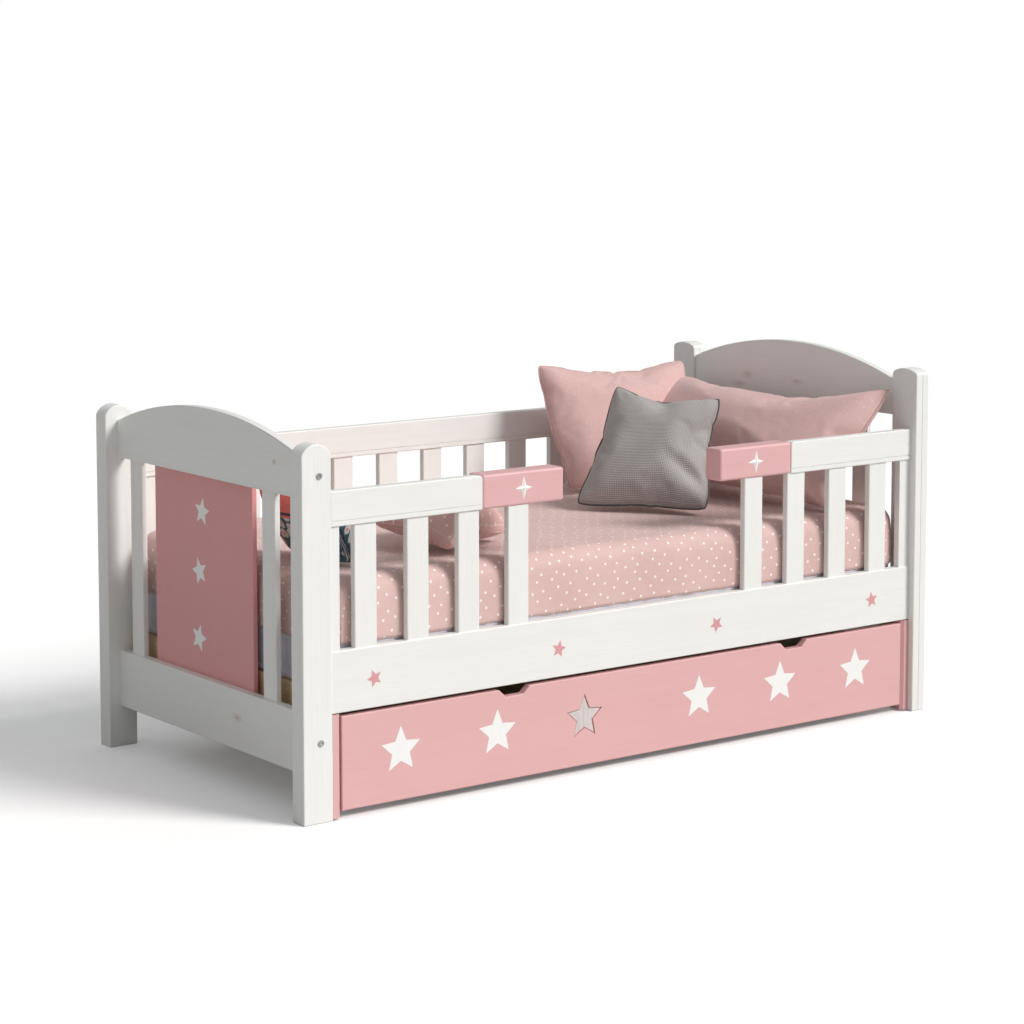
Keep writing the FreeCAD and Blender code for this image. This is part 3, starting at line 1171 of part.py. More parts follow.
def soft_block(label, long, deep, tall, corner, radius, at, turns=()):
    """A rounded block, drawn about its own centre so that it leans and turns about it."""
    piece = new_body(label)
    for name, formula in zip(("x", "y", "z"), at):
        bind(piece, f"Placement.Base.{name}", formula)
    for name, formula in turns:
        bind(piece, f"Placement.Rotation.{name}", formula)
    flat = draw_rounded(new_sketch(piece, "XY"), long, deep, corner)
    flat.AttachmentOffset = FreeCAD.Placement()
    bind(flat, "AttachmentOffset.Base.x", f"0 - ({long}) / 2")
    bind(flat, "AttachmentOffset.Base.y", f"0 - ({deep}) / 2")
    feature = pad(piece, flat, tall)
    feature.Midplane = True
    DOC.recompute()
    round_edges(piece, radius, lambda edge: not runs_along(edge, "Z"))
    return piece


MATTRESS_LONG = "(rail_length - 2 * mattress_gap)"
MATTRESS_WIDE = f"({INNER_WIDE} - 2 * mattress_play)"
mattress = soft_block("mattress", MATTRESS_LONG, MATTRESS_WIDE, "mattress_tall", "mattress_corner",
                      "mattress_round", (RAIL_CENTRE, "0", f"{MATTRESS_LOW} + mattress_tall / 2"))
sheet_blank = soft_block("fitted_sheet", f"{MATTRESS_LONG} + 2 * sheet_thick",
                         f"{MATTRESS_WIDE} + 2 * sheet_thick", "2 * sheet_drop",
                         "mattress_corner + sheet_thick", "mattress_round + sheet_thick",
                         (RAIL_CENTRE, "0", f"{BED_TOP} - sheet_drop"))
below_hem = box("below_hem", ("rail_length", "bed_width", "2 * sheet_drop"),
                (RAIL_FOOT, FRONT, f"{BED_TOP} - 3 * sheet_drop"))
fitted_sheet = cut("fitted_sheet", sheet_blank, [mattress, below_hem])

# The head pillow leans on the arch board, the back pillow on the rear guard.
HEAD_PILLOW_AT = (f"{RAIL_HEAD} - head_pillow_back", f"{HEAD_FRONT} + head_post_wide + head_pillow_side",
                  f"{BED_TOP} + head_pillow_rise")
HEAD_PILLOW_TURNS = (("Pitch", "0 - head_pillow_lean"),)
HEAD_PILLOW_EDGE = "head_pillow_thick * crown_share"
head_pillow = soft_block("head_pillow", "head_pillow_deep", "head_pillow_wide", "head_pillow_thick",
                         "soft_corner", HEAD_PILLOW_EDGE, HEAD_PILLOW_AT, HEAD_PILLOW_TURNS)
pillow_room = soft_block("pillow_room", "head_pillow_deep + 2 * rest_gap", "head_pillow_wide + 2 * rest_gap",
                         "head_pillow_thick + 2 * rest_gap", "soft_corner", HEAD_PILLOW_EDGE,
                         HEAD_PILLOW_AT, HEAD_PILLOW_TURNS)
back_pillow_blank = soft_block(
    "back_pillow", "back_pillow_wide", "back_pillow_deep", "back_pillow_thick", "soft_corner",
    "back_pillow_thick * crown_share",
    (f"{RAIL_HEAD} - back_pillow_back", f"{REAR} - back_pillow_side", f"{BED_TOP} + back_pillow_rise"),
    (("Roll", "back_pillow_lean"),))
back_pillow = cut("back_pillow", back_pillow_blank, [pillow_room])
knit_cushion = soft_block(
    "knit_cushion", "knit_wide", "knit_deep", "knit_thick", "small_corner", "knit_thick * crown_share",
    (f"{RAIL_HEAD} - knit_back", "0 - knit_side", f"{BED_TOP} + knit_rise"),
    (("Yaw", "0 - knit_turn"), ("Roll", "knit_lean")))
small_pillow = soft_block(
    "small_pillow", "small_wide", "small_deep", "small_thick", "small_corner", "small_thick * crown_share",
    (f"{RAIL_FOOT} + small_along", f"{INNER_FRONT} + small_side", f"{BED_TOP} + small_thick / 2 + rest_gap"),
    (("Yaw", "small_turn"),))
patterned_cushion = soft_block(
    "patterned_cushion", "toy_deep", "toy_wide", "toy_thick", "small_corner", "toy_thick * crown_share",
    (f"{RAIL_FOOT} + toy_along", f"{INNER_FRONT} + toy_side", f"{BED_TOP} + toy_rise"),
    (("Yaw", "180"), ("Pitch", "0 - toy_lean")))

DOC.recompute()

NODES = [
    foot_post_front, foot_post_rear, head_post_front, head_post_rear,
    foot_arch, foot_rail, foot_slats, foot_panel, foot_panel_stars,
    head_arch, head_rail, head_slats, head_panel, head_panel_stars,
    front_side_rail, rear_side_rail, front_rail_stars,
    foot_guard_rail, foot_guard_slats, foot_guard_cap,
    head_guard_rail, head_guard_slats, head_guard_cap, guard_cap_stars,
    rear_guard_rail, rear_guard_slats,
    front_ledger, rear_ledger, end_bearers, base_slats, base_slat_screws, ledger_screws,
    end_bolts, barrel_nuts, joint_dowels, corner_brackets, bracket_screws, panel_screws,
    foot_batten, head_batten,
    drawer_front, drawer_stars, drawer_sunk_star,
    drawer_side_foot, drawer_side_head, drawer_back, drawer_bottom,
    castor_forks, castor_axles, castor_screws, *wheels,
    mattress, fitted_sheet, head_pillow, back_pillow, knit_cushion, small_pillow, patterned_cushion,
]


def check_document():
    """Stop if any object failed, or if any node has no sound solid."""
    for thing in DOC.Objects:
        if {"Invalid", "Error"} & set(thing.State):
            raise ValueError(f"{thing.Label} is {thing.State}")
    for node in NODES:
        shape = node.Shape
        if shape.isNull() or not shape.isValid() or not shape.Solids or shape.Volume <= 0:
            raise ValueError(f"{node.Label} has no sound solid")


def write_parts():
    """Write one STEP file for each node."""
    os.makedirs("parts", exist_ok=True)
    for node in NODES:
        node.Shape.exportStep(f"parts/{node.Label}.step")
        box_of = node.Shape.BoundBox
        print(f"{node.Label}: {len(node.Shape.Solids)} solids, {node.Shape.Volume / 1000:.1f} cm3, "
              f"x {box_of.XMin:.1f}..{box_of.XMax:.1f} y {box_of.YMin:.1f}..{box_of.YMax:.1f} "
              f"z {box_of.ZMin:.1f}..{box_of.ZMax:.1f}")


check_document()
write_parts()
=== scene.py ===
"""Looks of the toddler bed: lacquered pine, steel and nylon fittings, mattress, sheet and cushions."""

import logging
import math
from dataclasses import dataclass
from enum import Enum
from typing import Callable, ClassVar, Sequence

import bpy
import numpy as np
from mathutils import Euler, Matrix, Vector, noise


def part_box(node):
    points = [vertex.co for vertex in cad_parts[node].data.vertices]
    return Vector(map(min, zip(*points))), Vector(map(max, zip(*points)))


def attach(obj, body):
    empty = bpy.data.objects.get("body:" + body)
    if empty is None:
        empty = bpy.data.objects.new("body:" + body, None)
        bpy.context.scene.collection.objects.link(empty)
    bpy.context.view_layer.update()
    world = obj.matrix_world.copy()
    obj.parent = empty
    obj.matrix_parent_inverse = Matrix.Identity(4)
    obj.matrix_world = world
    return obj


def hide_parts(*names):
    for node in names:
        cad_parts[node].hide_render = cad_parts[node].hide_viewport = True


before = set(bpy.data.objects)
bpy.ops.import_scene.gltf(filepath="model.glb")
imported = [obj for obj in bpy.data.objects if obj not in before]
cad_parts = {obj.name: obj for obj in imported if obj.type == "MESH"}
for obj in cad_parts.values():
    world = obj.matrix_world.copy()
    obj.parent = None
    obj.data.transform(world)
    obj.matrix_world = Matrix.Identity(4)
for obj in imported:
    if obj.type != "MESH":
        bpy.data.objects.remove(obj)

LOG = logging.getLogger("toddler_bed")
MM = 0.001
PLACE = "cloth_place"
BED = "bed"
UNSEWN = 0.05  # a distance from the edge of the cloth at which no seam shows
LOFT, APART = 3.0, 2.0  # how high, and how far from each other, the cushions are blown up
TINY = 1e-9

Colour = tuple[float, float, float]
Point = tuple[float, float, float]
Socket = bpy.types.NodeSocket
Feed = Socket | float | Sequence[float]


class Along(Enum):
    """The way that a board's grain runs; the value squeezes the coordinates along it."""

    LENGTH = (0.05, 1.0, 1.0)
    WIDTH = (1.0, 0.05, 1.0)
    HEIGHT = (1.0, 1.0, 0.05)


class Kind(Enum):
    """What a group's socket carries."""

    VALUE = "NodeSocketFloat"
    VECTOR = "NodeSocketVector"
    COLOUR = "NodeSocketColor"


class Wiring:
    """Adds and joins the nodes of one tree."""

    def __init__(self, tree: bpy.types.NodeTree) -> None:
        """Keeps the tree that the nodes go in.

        Args:
            tree: a material's, a world's or a group's tree.
        """
        self.tree = tree

    def feed(self, socket: Socket, value: Feed) -> None:
        """Gives a socket its source.

        Args:
            socket: the input.
            value: another node's output, a number, or a row of numbers.
        """
        if isinstance(value, bpy.types.NodeSocket):
            self.tree.links.new(value, socket)
        elif isinstance(value, (int, float)):
            socket.default_value = value
        else:
            wanted = len(socket.default_value)
            socket.default_value = (tuple(value) + (1.0,))[:wanted]

    def add(self, kind: str, settings: dict | None = None, **inputs: Feed) -> bpy.types.Node:
        """Adds a node.

        Args:
            kind: its type, without the leading ShaderNode.
            settings: its properties.
            inputs: its sockets by name, with underscores for spaces.

        Returns:
            The node.
        """
        node = self.tree.nodes.new("ShaderNode" + kind)
        for name, value in (settings or {}).items():
            setattr(node, name, value)
        for name, value in inputs.items():
            self.feed(node.inputs[name.replace("_", " ")], value)
        return node

    def maths(self, operation: str, first: Feed, second: Feed = 0.0, clamp: bool = False,
              third: Feed | None = None) -> Socket:
        """Works out one number from two.

        Args:
            operation: the Math node's operation.
            first: the first number.
            second: the second number.
            clamp: True to keep the result from 0 to 1.
            third: the number that a multiplied result is added to.

        Returns:
            The result.
        """
        node = self.add("Math", {"operation": operation, "use_clamp": clamp})
        self.feed(node.inputs[0], first)
        self.feed(node.inputs[1], second)
        if third is not None:
            self.feed(node.inputs[2], third)
        return node.outputs[0]

    def times(self, first: Feed, second: Feed) -> Socket:
        """Multiplies two numbers.

        Args:
            first: the first number.
            second: the second number.

        Returns:
            Their product.
        """
        return self.maths("MULTIPLY", first, second)

    def plus(self, first: Feed, second: Feed, clamp: bool = False) -> Socket:
        """Adds two numbers.

        Args:
            first: the first number.
            second: the second number.
            clamp: True to keep the sum from 0 to 1.

        Returns:
            Their sum.
        """
        return self.maths("ADD", first, second, clamp)

    def vector(self, operation: str, first: Feed, second: Feed = (0.0, 0.0, 0.0)) -> Socket:
        """Works out one vector, or its length or dot product, from two.

        Args:
            operation: the Vector Math node's operation.
            first: the first vector.
            second: the second vector.

        Returns:
            The result.
        """
        node = self.add("VectorMath", {"operation": operation})
        self.feed(node.inputs[0], first)
        self.feed(node.inputs[1], second)
        return node.outputs["Value" if operation in ("LENGTH", "DOT_PRODUCT") else "Vector"]

    def scaled(self, vector: Feed, scale: Feed) -> Socket:
        """Multiplies a vector by a number.

        Args:
            vector: the vector.
            scale: the number.

        Returns:
            The longer or shorter vector.
        """
        node = self.add("VectorMath", {"operation": "SCALE"}, Scale=scale)
        self.feed(node.inputs[0], vector)
        return node.outputs["Vector"]

    def spread(self, value: Feed, low: float, high: float, start: float = 0.0, end: float = 1.0) -> Socket:
        """Maps a range smoothly onto another.

        Args:
            value: the number.
            low: the value that gives start.
            high: the value that gives end.
            start: the lowest result.
            end: the highest result.

        Returns:
            The mapped number.
        """
        node = self.add("MapRange", {"interpolation_type": "SMOOTHSTEP"}, Value=value)
        for name, number in (("From Min", low), ("From Max", high), ("To Min", start), ("To Max", end)):
            node.inputs[name].default_value = number
        return node.outputs["Result"]

    def blend(self, factor: Feed, first: Feed, second: Feed, how: str = "MIX") -> Socket:
        """Mixes two colours.

        Args:
            factor: how much of the second.
            first: the first colour.
            second: the second colour.
            how: the Mix node's blend type.

        Returns:
            The mixed colour.
        """
        node = self.add("Mix", {"data_type": "RGBA", "blend_type": how, "clamp_factor": True})
        self.feed(node.inputs[0], factor)
        self.feed(node.inputs[6], first)
        self.feed(node.inputs[7], second)
        return node.outputs[2]

    def grainy(self, vector: Feed, scale: Feed, detail: float = 3.0, rough: float = 0.55,
               twist: float = 0.0) -> Socket:
        """Adds noise.

        Args:
            vector: where it is read.
            scale: how many blobs there are in a metre.
            detail: how many finer layers it has.
            rough: how strong the finer layers are.
            twist: how far it is distorted.

        Returns:
            The noise, from 0 to 1.
        """
        node = self.add("TexNoise", None, Vector=vector, Scale=scale, Detail=detail, Roughness=rough,
                        Distortion=twist)
        return node.outputs["Fac"]

    def relief(self, height: Feed, distance: float, strength: float = 1.0) -> Socket:
        """Turns a height into a normal.

        Args:
            height: the height from 0 to 1.
            distance: how many metres a height of 1 stands for.
            strength: how much of it shows.

        Returns:
            The normal.
        """
        node = self.add("Bump", None, Height=height, Distance=distance, Strength=strength)
        return node.outputs["Normal"]


class Effects:
    """The shader groups that several materials share, each built once."""

    made: ClassVar[dict[str, bpy.types.NodeTree]] = {}

    @classmethod
    def group(cls, name: str, inputs: dict[str, Kind], outputs: dict[str, Kind],
              fill: Callable[[Wiring, dict[str, Socket]], dict[str, Feed]]) -> bpy.types.NodeTree:
        """Builds a group, or gives the one built before.

        Args:
            name: the group's name.
            inputs: its inputs and what they carry.
            outputs: its outputs and what they carry.
            fill: adds the nodes, and gives what feeds each output.

        Returns:
            The group's tree.
        """
        if name in cls.made:
            return cls.made[name]
        tree = bpy.data.node_groups.new(name, "ShaderNodeTree")
        for label, kind in inputs.items():
            tree.interface.new_socket(name=label, in_out="INPUT", socket_type=kind.value)
        for label, kind in outputs.items():
            tree.interface.new_socket(name=label, in_out="OUTPUT", socket_type=kind.value)
        wires = Wiring(tree)
        entry, leave = tree.nodes.new("NodeGroupInput"), tree.nodes.new("NodeGroupOutput")
        results = fill(wires, {label: entry.outputs[label] for label in inputs})
        for label, value in results.items():
            wires.feed(leave.inputs[label], value)
        cls.made[name] = tree
        return tree

    @classmethod
    def place(cls, wires: Wiring, tree: bpy.types.NodeTree, **inputs: Feed) -> bpy.types.NodeOutputs:
        """Puts a group in a material.

        Args:
            wires: the material's wiring.
            tree: the group.
            inputs: its values by name.

        Returns:
            The group's outputs.
        """
        node = wires.tree.nodes.new("ShaderNodeGroup")
        node.node_tree = tree
        for name, value in inputs.items():
            wires.feed(node.inputs[name.replace("_", " ")], value)
        return node.outputs

    @classmethod
    def wood_grain(cls) -> bpy.types.NodeTree:
        """Growth rings and fibres that run one way.

        Returns:
            The group.
        """
        def fill(wires: Wiring, given: dict[str, Socket]) -> dict[str, Feed]:
            """Adds the nodes of the grain.

            Args:
                wires: the group's wiring.
                given: its inputs.

            Returns:
                What feeds each output.
            """
            squeezed = wires.vector("MULTIPLY", given["Vector"], given["Stretch"])
            rings = wires.grainy(squeezed, given["Scale"], 4.0, 0.55, 0.9)
            ringed = wires.spread(rings, 0.38, 0.62)
            fibre = wires.grainy(squeezed, wires.times(given["Scale"], 9.0), 3.0, 0.6)
            pores = wires.spread(fibre, 0.42, 0.66)
            return {"Rings": ringed, "Fibre": pores}

        return cls.group("wood_grain", {"Vector": Kind.VECTOR, "Stretch": Kind.VECTOR, "Scale": Kind.VALUE},
                         {"Rings": Kind.VALUE, "Fibre": Kind.VALUE}, fill)

    @classmethod
    def knot(cls) -> bpy.types.NodeTree:
        """One knot with the grain bent round it.

        Returns:
            The group.
        """
        def fill(wires: Wiring, given: dict[str, Socket]) -> dict[str, Feed]:
            """Adds the nodes of the knot.

            Args:
                wires: the group's wiring.
                given: its inputs.

            Returns:
                What feeds each output.
            """
            away = wires.vector("SUBTRACT", given["Vector"], given["Centre"])
            sized = wires.vector("DIVIDE", away, given["Size"])
            wavy = wires.times(wires.grainy(sized, 2.3, 3.0, 0.6), 0.9)
            far = wires.plus(wires.vector("LENGTH", sized), wavy)
            heart = wires.spread(far, 1.25, 0.55)
            halo = wires.times(wires.spread(far, 2.6, 1.1), 0.35)
            return {"Mask": wires.maths("MAXIMUM", heart, halo)}

        return cls.group("knot", {"Vector": Kind.VECTOR, "Centre": Kind.VECTOR, "Size": Kind.VECTOR},
                         {"Mask": Kind.VALUE}, fill)

    @classmethod
    def edge_wear(cls) -> bpy.types.NodeTree:
        """A mask of the edges, where paint is thinner and rubbed and where light catches the rounding: the
        finishes lighten their colour there, partly as wear and partly as a painted highlight.

        Returns:
            The group.
        """
        def fill(wires: Wiring, given: dict[str, Socket]) -> dict[str, Feed]:
            """Adds the nodes of the wear and highlight mask.

            Args:
                wires: the group's wiring.
                given: its inputs.

            Returns:
                What feeds each output.
            """
            rounded = wires.add("Bevel", {"samples": 4}, Radius=given["Radius"]).outputs["Normal"]
            straight = wires.add("NewGeometry").outputs["True Normal"]
            facing = wires.vector("DOT_PRODUCT", rounded, straight)
            edge = wires.spread(wires.maths("SUBTRACT", 1.0, facing), 0.004, 0.10)
            patchy = wires.spread(wires.grainy(given["Vector"], 38.0, 4.0, 0.6), 0.30, 0.72)
            return {"Mask": wires.times(edge, patchy)}

        return cls.group("edge_wear", {"Vector": Kind.VECTOR, "Radius": Kind.VALUE}, {"Mask": Kind.VALUE},
                         fill)

    @classmethod
    def clouding(cls) -> bpy.types.NodeTree:
        """Slow changes over a surface, with fine dust in them.

        Returns:
            The group.
        """
        def fill(wires: Wiring, given: dict[str, Socket]) -> dict[str, Feed]:
            """Adds the nodes of the clouding.

            Args:
                wires: the group's wiring.
                given: its inputs.

            Returns:
                What feeds each output.
            """
            slow = wires.spread(wires.grainy(given["Vector"], given["Scale"], 3.0, 0.5), 0.30, 0.70)
            fine = wires.grainy(given["Vector"], wires.times(given["Scale"], 40.0), 2.0, 0.6)
            return {"Slow": slow, "Dust": wires.spread(fine, 0.35, 0.65)}

        return cls.group("clouding", {"Vector": Kind.VECTOR, "Scale": Kind.VALUE},
                         {"Slow": Kind.VALUE, "Dust": Kind.VALUE}, fill)

    @classmethod
    def weave(cls) -> bpy.types.NodeTree:
        """Plain weave with slubs: threads over and under each other.

        Returns:
            The group.
        """
        def fill(wires: Wiring, given: dict[str, Socket]) -> dict[str, Feed]:
            """Adds the nodes of the weave.

            Args:
                wires: the group's wiring.
                given: its inputs.

            Returns:
                What feeds each output.
            """
            turns = wires.times(given["Threads"], math.pi)
            parts = wires.add("SeparateXYZ", None, Vector=given["Place"]).outputs
            across = wires.maths("SINE", wires.times(parts["X"], turns))
            down = wires.maths("SINE", wires.times(parts["Y"], turns))
            crossed = wires.maths("MULTIPLY_ADD", wires.times(across, down), 0.5, third=0.5)
            weft = wires.vector("MULTIPLY", given["Place"], (0.10, 1.0, 0.0))
            warp = wires.vector("MULTIPLY", given["Place"], (1.0, 0.10, 0.0))
            slub = wires.maths("DIVIDE", given["Threads"], 2.4)
            slubs = wires.plus(*(wires.grainy(way, slub, 3.0, 0.65) for way in (weft, warp)))
            uneven = wires.spread(slubs, 0.72, 1.28)
            height = wires.plus(wires.times(crossed, 0.45), wires.times(uneven, 0.55))
            return {"Height": height, "Shade": uneven}

        return cls.group("weave", {"Place": Kind.VECTOR, "Threads": Kind.VALUE},
                         {"Height": Kind.VALUE, "Shade": Kind.VALUE}, fill)

    @classmethod
    def dots(cls) -> bpy.types.NodeTree:
        """Small printed dots, a little out of step, some of them left out.

        Returns:
            The group.
        """
        def fill(wires: Wiring, given: dict[str, Socket]) -> dict[str, Feed]:
            """Adds the nodes of the dots.

            Args:
                wires: the group's wiring.
                given: its inputs.

            Returns:
                What feeds each output.
            """
            turned = wires.add("VectorRotate", {"rotation_type": "Z_AXIS"}, Vector=given["Place"],
                               Angle=math.radians(38.0)).outputs["Vector"]
            flat = wires.vector("MULTIPLY", turned, (1.0, 1.0, 0.0))
            cells = wires.add("TexVoronoi", {"voronoi_dimensions": "2D", "feature": "F1"}, Vector=flat,
                              Scale=wires.maths("DIVIDE", 1.0, given["Pitch"]), Randomness=0.42).outputs
            metres = wires.times(cells["Distance"], given["Pitch"])
            part = wires.maths("DIVIDE", metres, given["Radius"])
            spot = wires.spread(part, 1.10, 0.80)
            tint = wires.add("SeparateColor", None, Color=cells["Color"]).outputs["Red"]
            kept = wires.maths("LESS_THAN", tint, given["Share"])
            return {"Mask": wires.times(spot, kept)}

        return cls.group("dots", {"Place": Kind.VECTOR, "Pitch": Kind.VALUE, "Radius": Kind.VALUE,
                                  "Share": Kind.VALUE}, {"Mask": Kind.VALUE}, fill)

    @classmethod
    def seam_line(cls) -> bpy.types.NodeTree:
        """A sewn line at one distance from the edge of the cloth, pulled in between its stitches.

        Returns:
            The group.
        """
        def fill(wires: Wiring, given: dict[str, Socket]) -> dict[str, Feed]:
            """Adds the nodes of the seam.

            Args:
                wires: the group's wiring.
                given: its inputs.

            Returns:
                What feeds each output.
            """
            parts = wires.add("SeparateXYZ", None, Vector=given["Place"]).outputs
            off = wires.maths("ABSOLUTE", wires.maths("SUBTRACT", parts["Z"], given["Inset"]))
            groove = wires.spread(off, 0.0022, 0.0004)
            both = wires.plus(parts["X"], parts["Y"])
            beat = wires.maths("SINE", wires.times(both, 2.0 * math.pi / 0.0035))
            stitch = wires.spread(beat, -0.3, 0.4)
            return {"Groove": groove, "Stitch": wires.times(groove, stitch)}

        return cls.group("seam_line", {"Place": Kind.VECTOR, "Inset": Kind.VALUE},
                         {"Groove": Kind.VALUE, "Stitch": Kind.VALUE}, fill)


class Finish:
    """What every finish shares: a material with one Principled shader."""

    name: str
    made: ClassVar[dict[str, bpy.types.Material]] = {}

    def start(self) -> tuple[Wiring, bpy.types.Node, bpy.types.Material]:
        """Makes an empty material.

        Returns:
            Its wiring, its Principled shader and the material.
        """
        material = bpy.data.materials.new(self.name + "_finish")
        material.use_nodes = True
        wires = Wiring(material.node_tree)
        shader = material.node_tree.nodes["Principled BSDF"]
        return wires, shader, material

    @staticmethod
    def join(wires: Wiring, shader: bpy.types.Node, colour: Feed, roughness: Feed, normal: Socket,
             **plain: float) -> None:
        """Joins a material's nodes to its shader.

        Args:
            wires: the material's wiring.
            shader: its Principled shader.
            colour: what feeds the base colour.
            roughness: what feeds the roughness.
            normal: what feeds the normal.
            plain: the shader's other sockets by name, with underscores for spaces.
        """
        for name, value in {"Base Color": colour, "Roughness": roughness, "Normal": normal, **plain}.items():
            wires.feed(shader.inputs[name.replace("_", " ")], value)

    def material(self) -> bpy.types.Material:
        """Gives the finish's material, made the first time.

        Returns:
            The material.
        """
        if self.name not in self.made:
            self.made[self.name] = self.build()
        return self.made[self.name]

    def build(self) -> bpy.types.Material:
        """Makes the material.

        Returns:
            The material.
        """
        raise NotImplementedError

    @staticmethod
    def everywhere(wires: Wiring) -> Socket:
        """Adds the coordinates of the object itself, in metres.

        Args:
            wires: the material's wiring.

        Returns:
            The coordinates.
        """
        return wires.add("TexCoord").outputs["Object"]

    @staticmethod
    def on_cloth(wires: Wiring) -> Socket:
        """Adds the coordinates on the flat cloth in metres, with the distance from its edge as the third.

        Args:
            wires: the material's wiring.

        Returns:
            The coordinates.
        """
        return wires.add("Attribute", {"attribute_name": PLACE}).outputs["Vector"]


@dataclass(frozen=True)
class Knot:
    """A knot in a board: its place and its half sizes in metres."""

    centre: Point
    size: Point


@dataclass(frozen=True)
class Lacquer(Finish):
    """Satin paint on pine, with the grain just showing through."""

    name: str
    colour: Colour
    deep: Colour
    # the colour of the edges: partly wear, partly a painted highlight
    wear_and_highlight: Colour
    along: Along
    show: float = 0.22
    rings: float = 26.0
    clouds: float = 3.2
    eased: float = 0.0022
    roughness: float = 0.40
    coat: float = 0.12
    knots: tuple[Knot, ...] = ()
    knot_colour: Colour = (0.42, 0.27, 0.19)

    def build(self) -> bpy.types.Material:
        """Makes the painted wood.

        Returns:
            The material.
        """
        wires, shader, material = self.start()
        at = self.everywhere(wires)
        grain = Effects.place(wires, Effects.wood_grain(), Vector=at, Stretch=self.along.value,
                              Scale=self.rings)
        cloud = Effects.place(wires, Effects.clouding(), Vector=at, Scale=self.clouds)
        wear_and_highlight = Effects.place(wires, Effects.edge_wear(), Vector=at, Radius=self.eased)
        ringed = wires.times(grain["Rings"], self.show)
        streaked = wires.times(grain["Fibre"], self.show * 0.6)
        shaded = wires.plus(wires.times(ringed, 0.6), streaked)
        clouded = wires.plus(shaded, wires.times(cloud["Slow"], 0.16), True)
        colour = wires.blend(clouded, self.colour, self.deep)
        for spot in self.knots:
            knot = Effects.place(wires, Effects.knot(), Vector=at, Centre=spot.centre, Size=spot.size)
            colour = wires.blend(wires.times(knot["Mask"], 0.75), colour, self.knot_colour)
        # The edges are lightened: partly wear, partly a painted highlight.
        colour = wires.blend(wires.times(wear_and_highlight["Mask"], 0.55), colour, self.wear_and_highlight)
        satin = wires.maths("MULTIPLY_ADD", cloud["Dust"], 0.07, third=self.roughness)
        height = wires.plus(wires.times(grain["Fibre"], 0.6), ringed)
        self.join(wires, shader, colour, wires.plus(satin, wires.times(ringed, 0.10)),
                  wires.relief(height, 0.25 * MM, 0.5), Coat_Weight=self.coat, Coat_Roughness=0.22)
        return material


@dataclass(frozen=True)
class Timber(Finish):
    """Planed wood with clear wax."""

    name: str
    colour: Colour
    deep: Colour
    along: Along
    scale: float = 20.0
    roughness: float = 0.52
    clouds: float = 2.5
    eased: float = 0.0018

    def build(self) -> bpy.types.Material:
        """Makes the bare wood.

        Returns:
            The material.
        """
        wires, shader, material = self.start()
        at = self.everywhere(wires)
        grain = Effects.place(wires, Effects.wood_grain(), Vector=at, Stretch=self.along.value,
                              Scale=self.scale)
        cloud = Effects.place(wires, Effects.clouding(), Vector=at, Scale=self.clouds)
        wear_and_highlight = Effects.place(wires, Effects.edge_wear(), Vector=at, Radius=self.eased)
        deep = wires.plus(wires.times(grain["Rings"], 0.65),
                           wires.times(grain["Fibre"], 0.30), True)
        colour = wires.blend(deep, self.colour, self.deep)
        colour = wires.blend(wires.times(cloud["Slow"], 0.25), colour, self.deep)
        lit = tuple(min(1.0, part * 1.12) for part in self.colour)
        rough = wires.spread(grain["Fibre"], 0.0, 1.0, self.roughness - 0.08, self.roughness + 0.12)
        # The edges are lightened towards lit: partly wear, partly a painted highlight.
        self.join(wires, shader, wires.blend(wires.times(wear_and_highlight["Mask"], 0.5), colour, lit), rough,
                  wires.relief(deep, 0.4 * MM, 0.6))
        return material


@dataclass(frozen=True)
class Steel(Finish):
    """Zinc plated steel with rolling marks."""

    name: str
    colour: Colour = (0.62, 0.62, 0.63)
    dull: Colour = (0.36, 0.36, 0.38)
    roughness: float = 0.30

    def build(self) -> bpy.types.Material:
        """Makes the metal.

        Returns:
            The material.
        """
        wires, shader, material = self.start()
        at = self.everywhere(wires)
        marks = wires.grainy(wires.vector("MULTIPLY", at, (1.0, 1.0, 0.12)), 900.0, 3.0, 0.6)
        cloud = Effects.place(wires, Effects.clouding(), Vector=at, Scale=60.0)
        wear_and_highlight = Effects.place(wires, Effects.edge_wear(), Vector=at, Radius=0.0008)
        colour = wires.blend(wires.times(cloud["Slow"], 0.55), self.colour, self.dull)
        bright = tuple(min(1.0, part * 1.3) for part in self.colour)
        rough = wires.spread(marks, 0.2, 0.8, self.roughness, self.roughness + 0.2)
        # The edges are brightened: partly rubbed plating, partly a painted glint.
        self.join(wires, shader, wires.blend(wear_and_highlight["Mask"], colour, bright), rough,
                  wires.relief(marks, 0.05 * MM, 0.4), Metallic=1.0)
        return material


@dataclass(frozen=True)
class Nylon(Finish):
    """Moulded nylon, scuffed where it rolls, its edges lighter: partly scuffs, partly a painted highlight."""

    name: str
    colour: Colour = (0.17, 0.17, 0.18)
    scuffed: Colour = (0.34, 0.33, 0.32)

    def build(self) -> bpy.types.Material:
        """Makes the moulded plastic.

        Returns:
            The material.
        """
        wires, shader, material = self.start()
        at = self.everywhere(wires)
        cloud = Effects.place(wires, Effects.clouding(), Vector=at, Scale=90.0)
        wear_and_highlight = Effects.place(wires, Effects.edge_wear(), Vector=at, Radius=0.0012)
        colour = wires.blend(wires.times(cloud["Slow"], 0.35), self.colour, self.scuffed)
        # The edges are lightened: partly scuffs, partly a painted highlight.
        self.join(wires, shader, wires.blend(wear_and_highlight["Mask"], colour, self.scuffed),
                  wires.spread(cloud["Dust"], 0.0, 1.0, 0.42, 0.62),
                  wires.relief(cloud["Dust"], 0.06 * MM, 0.5))
        return material


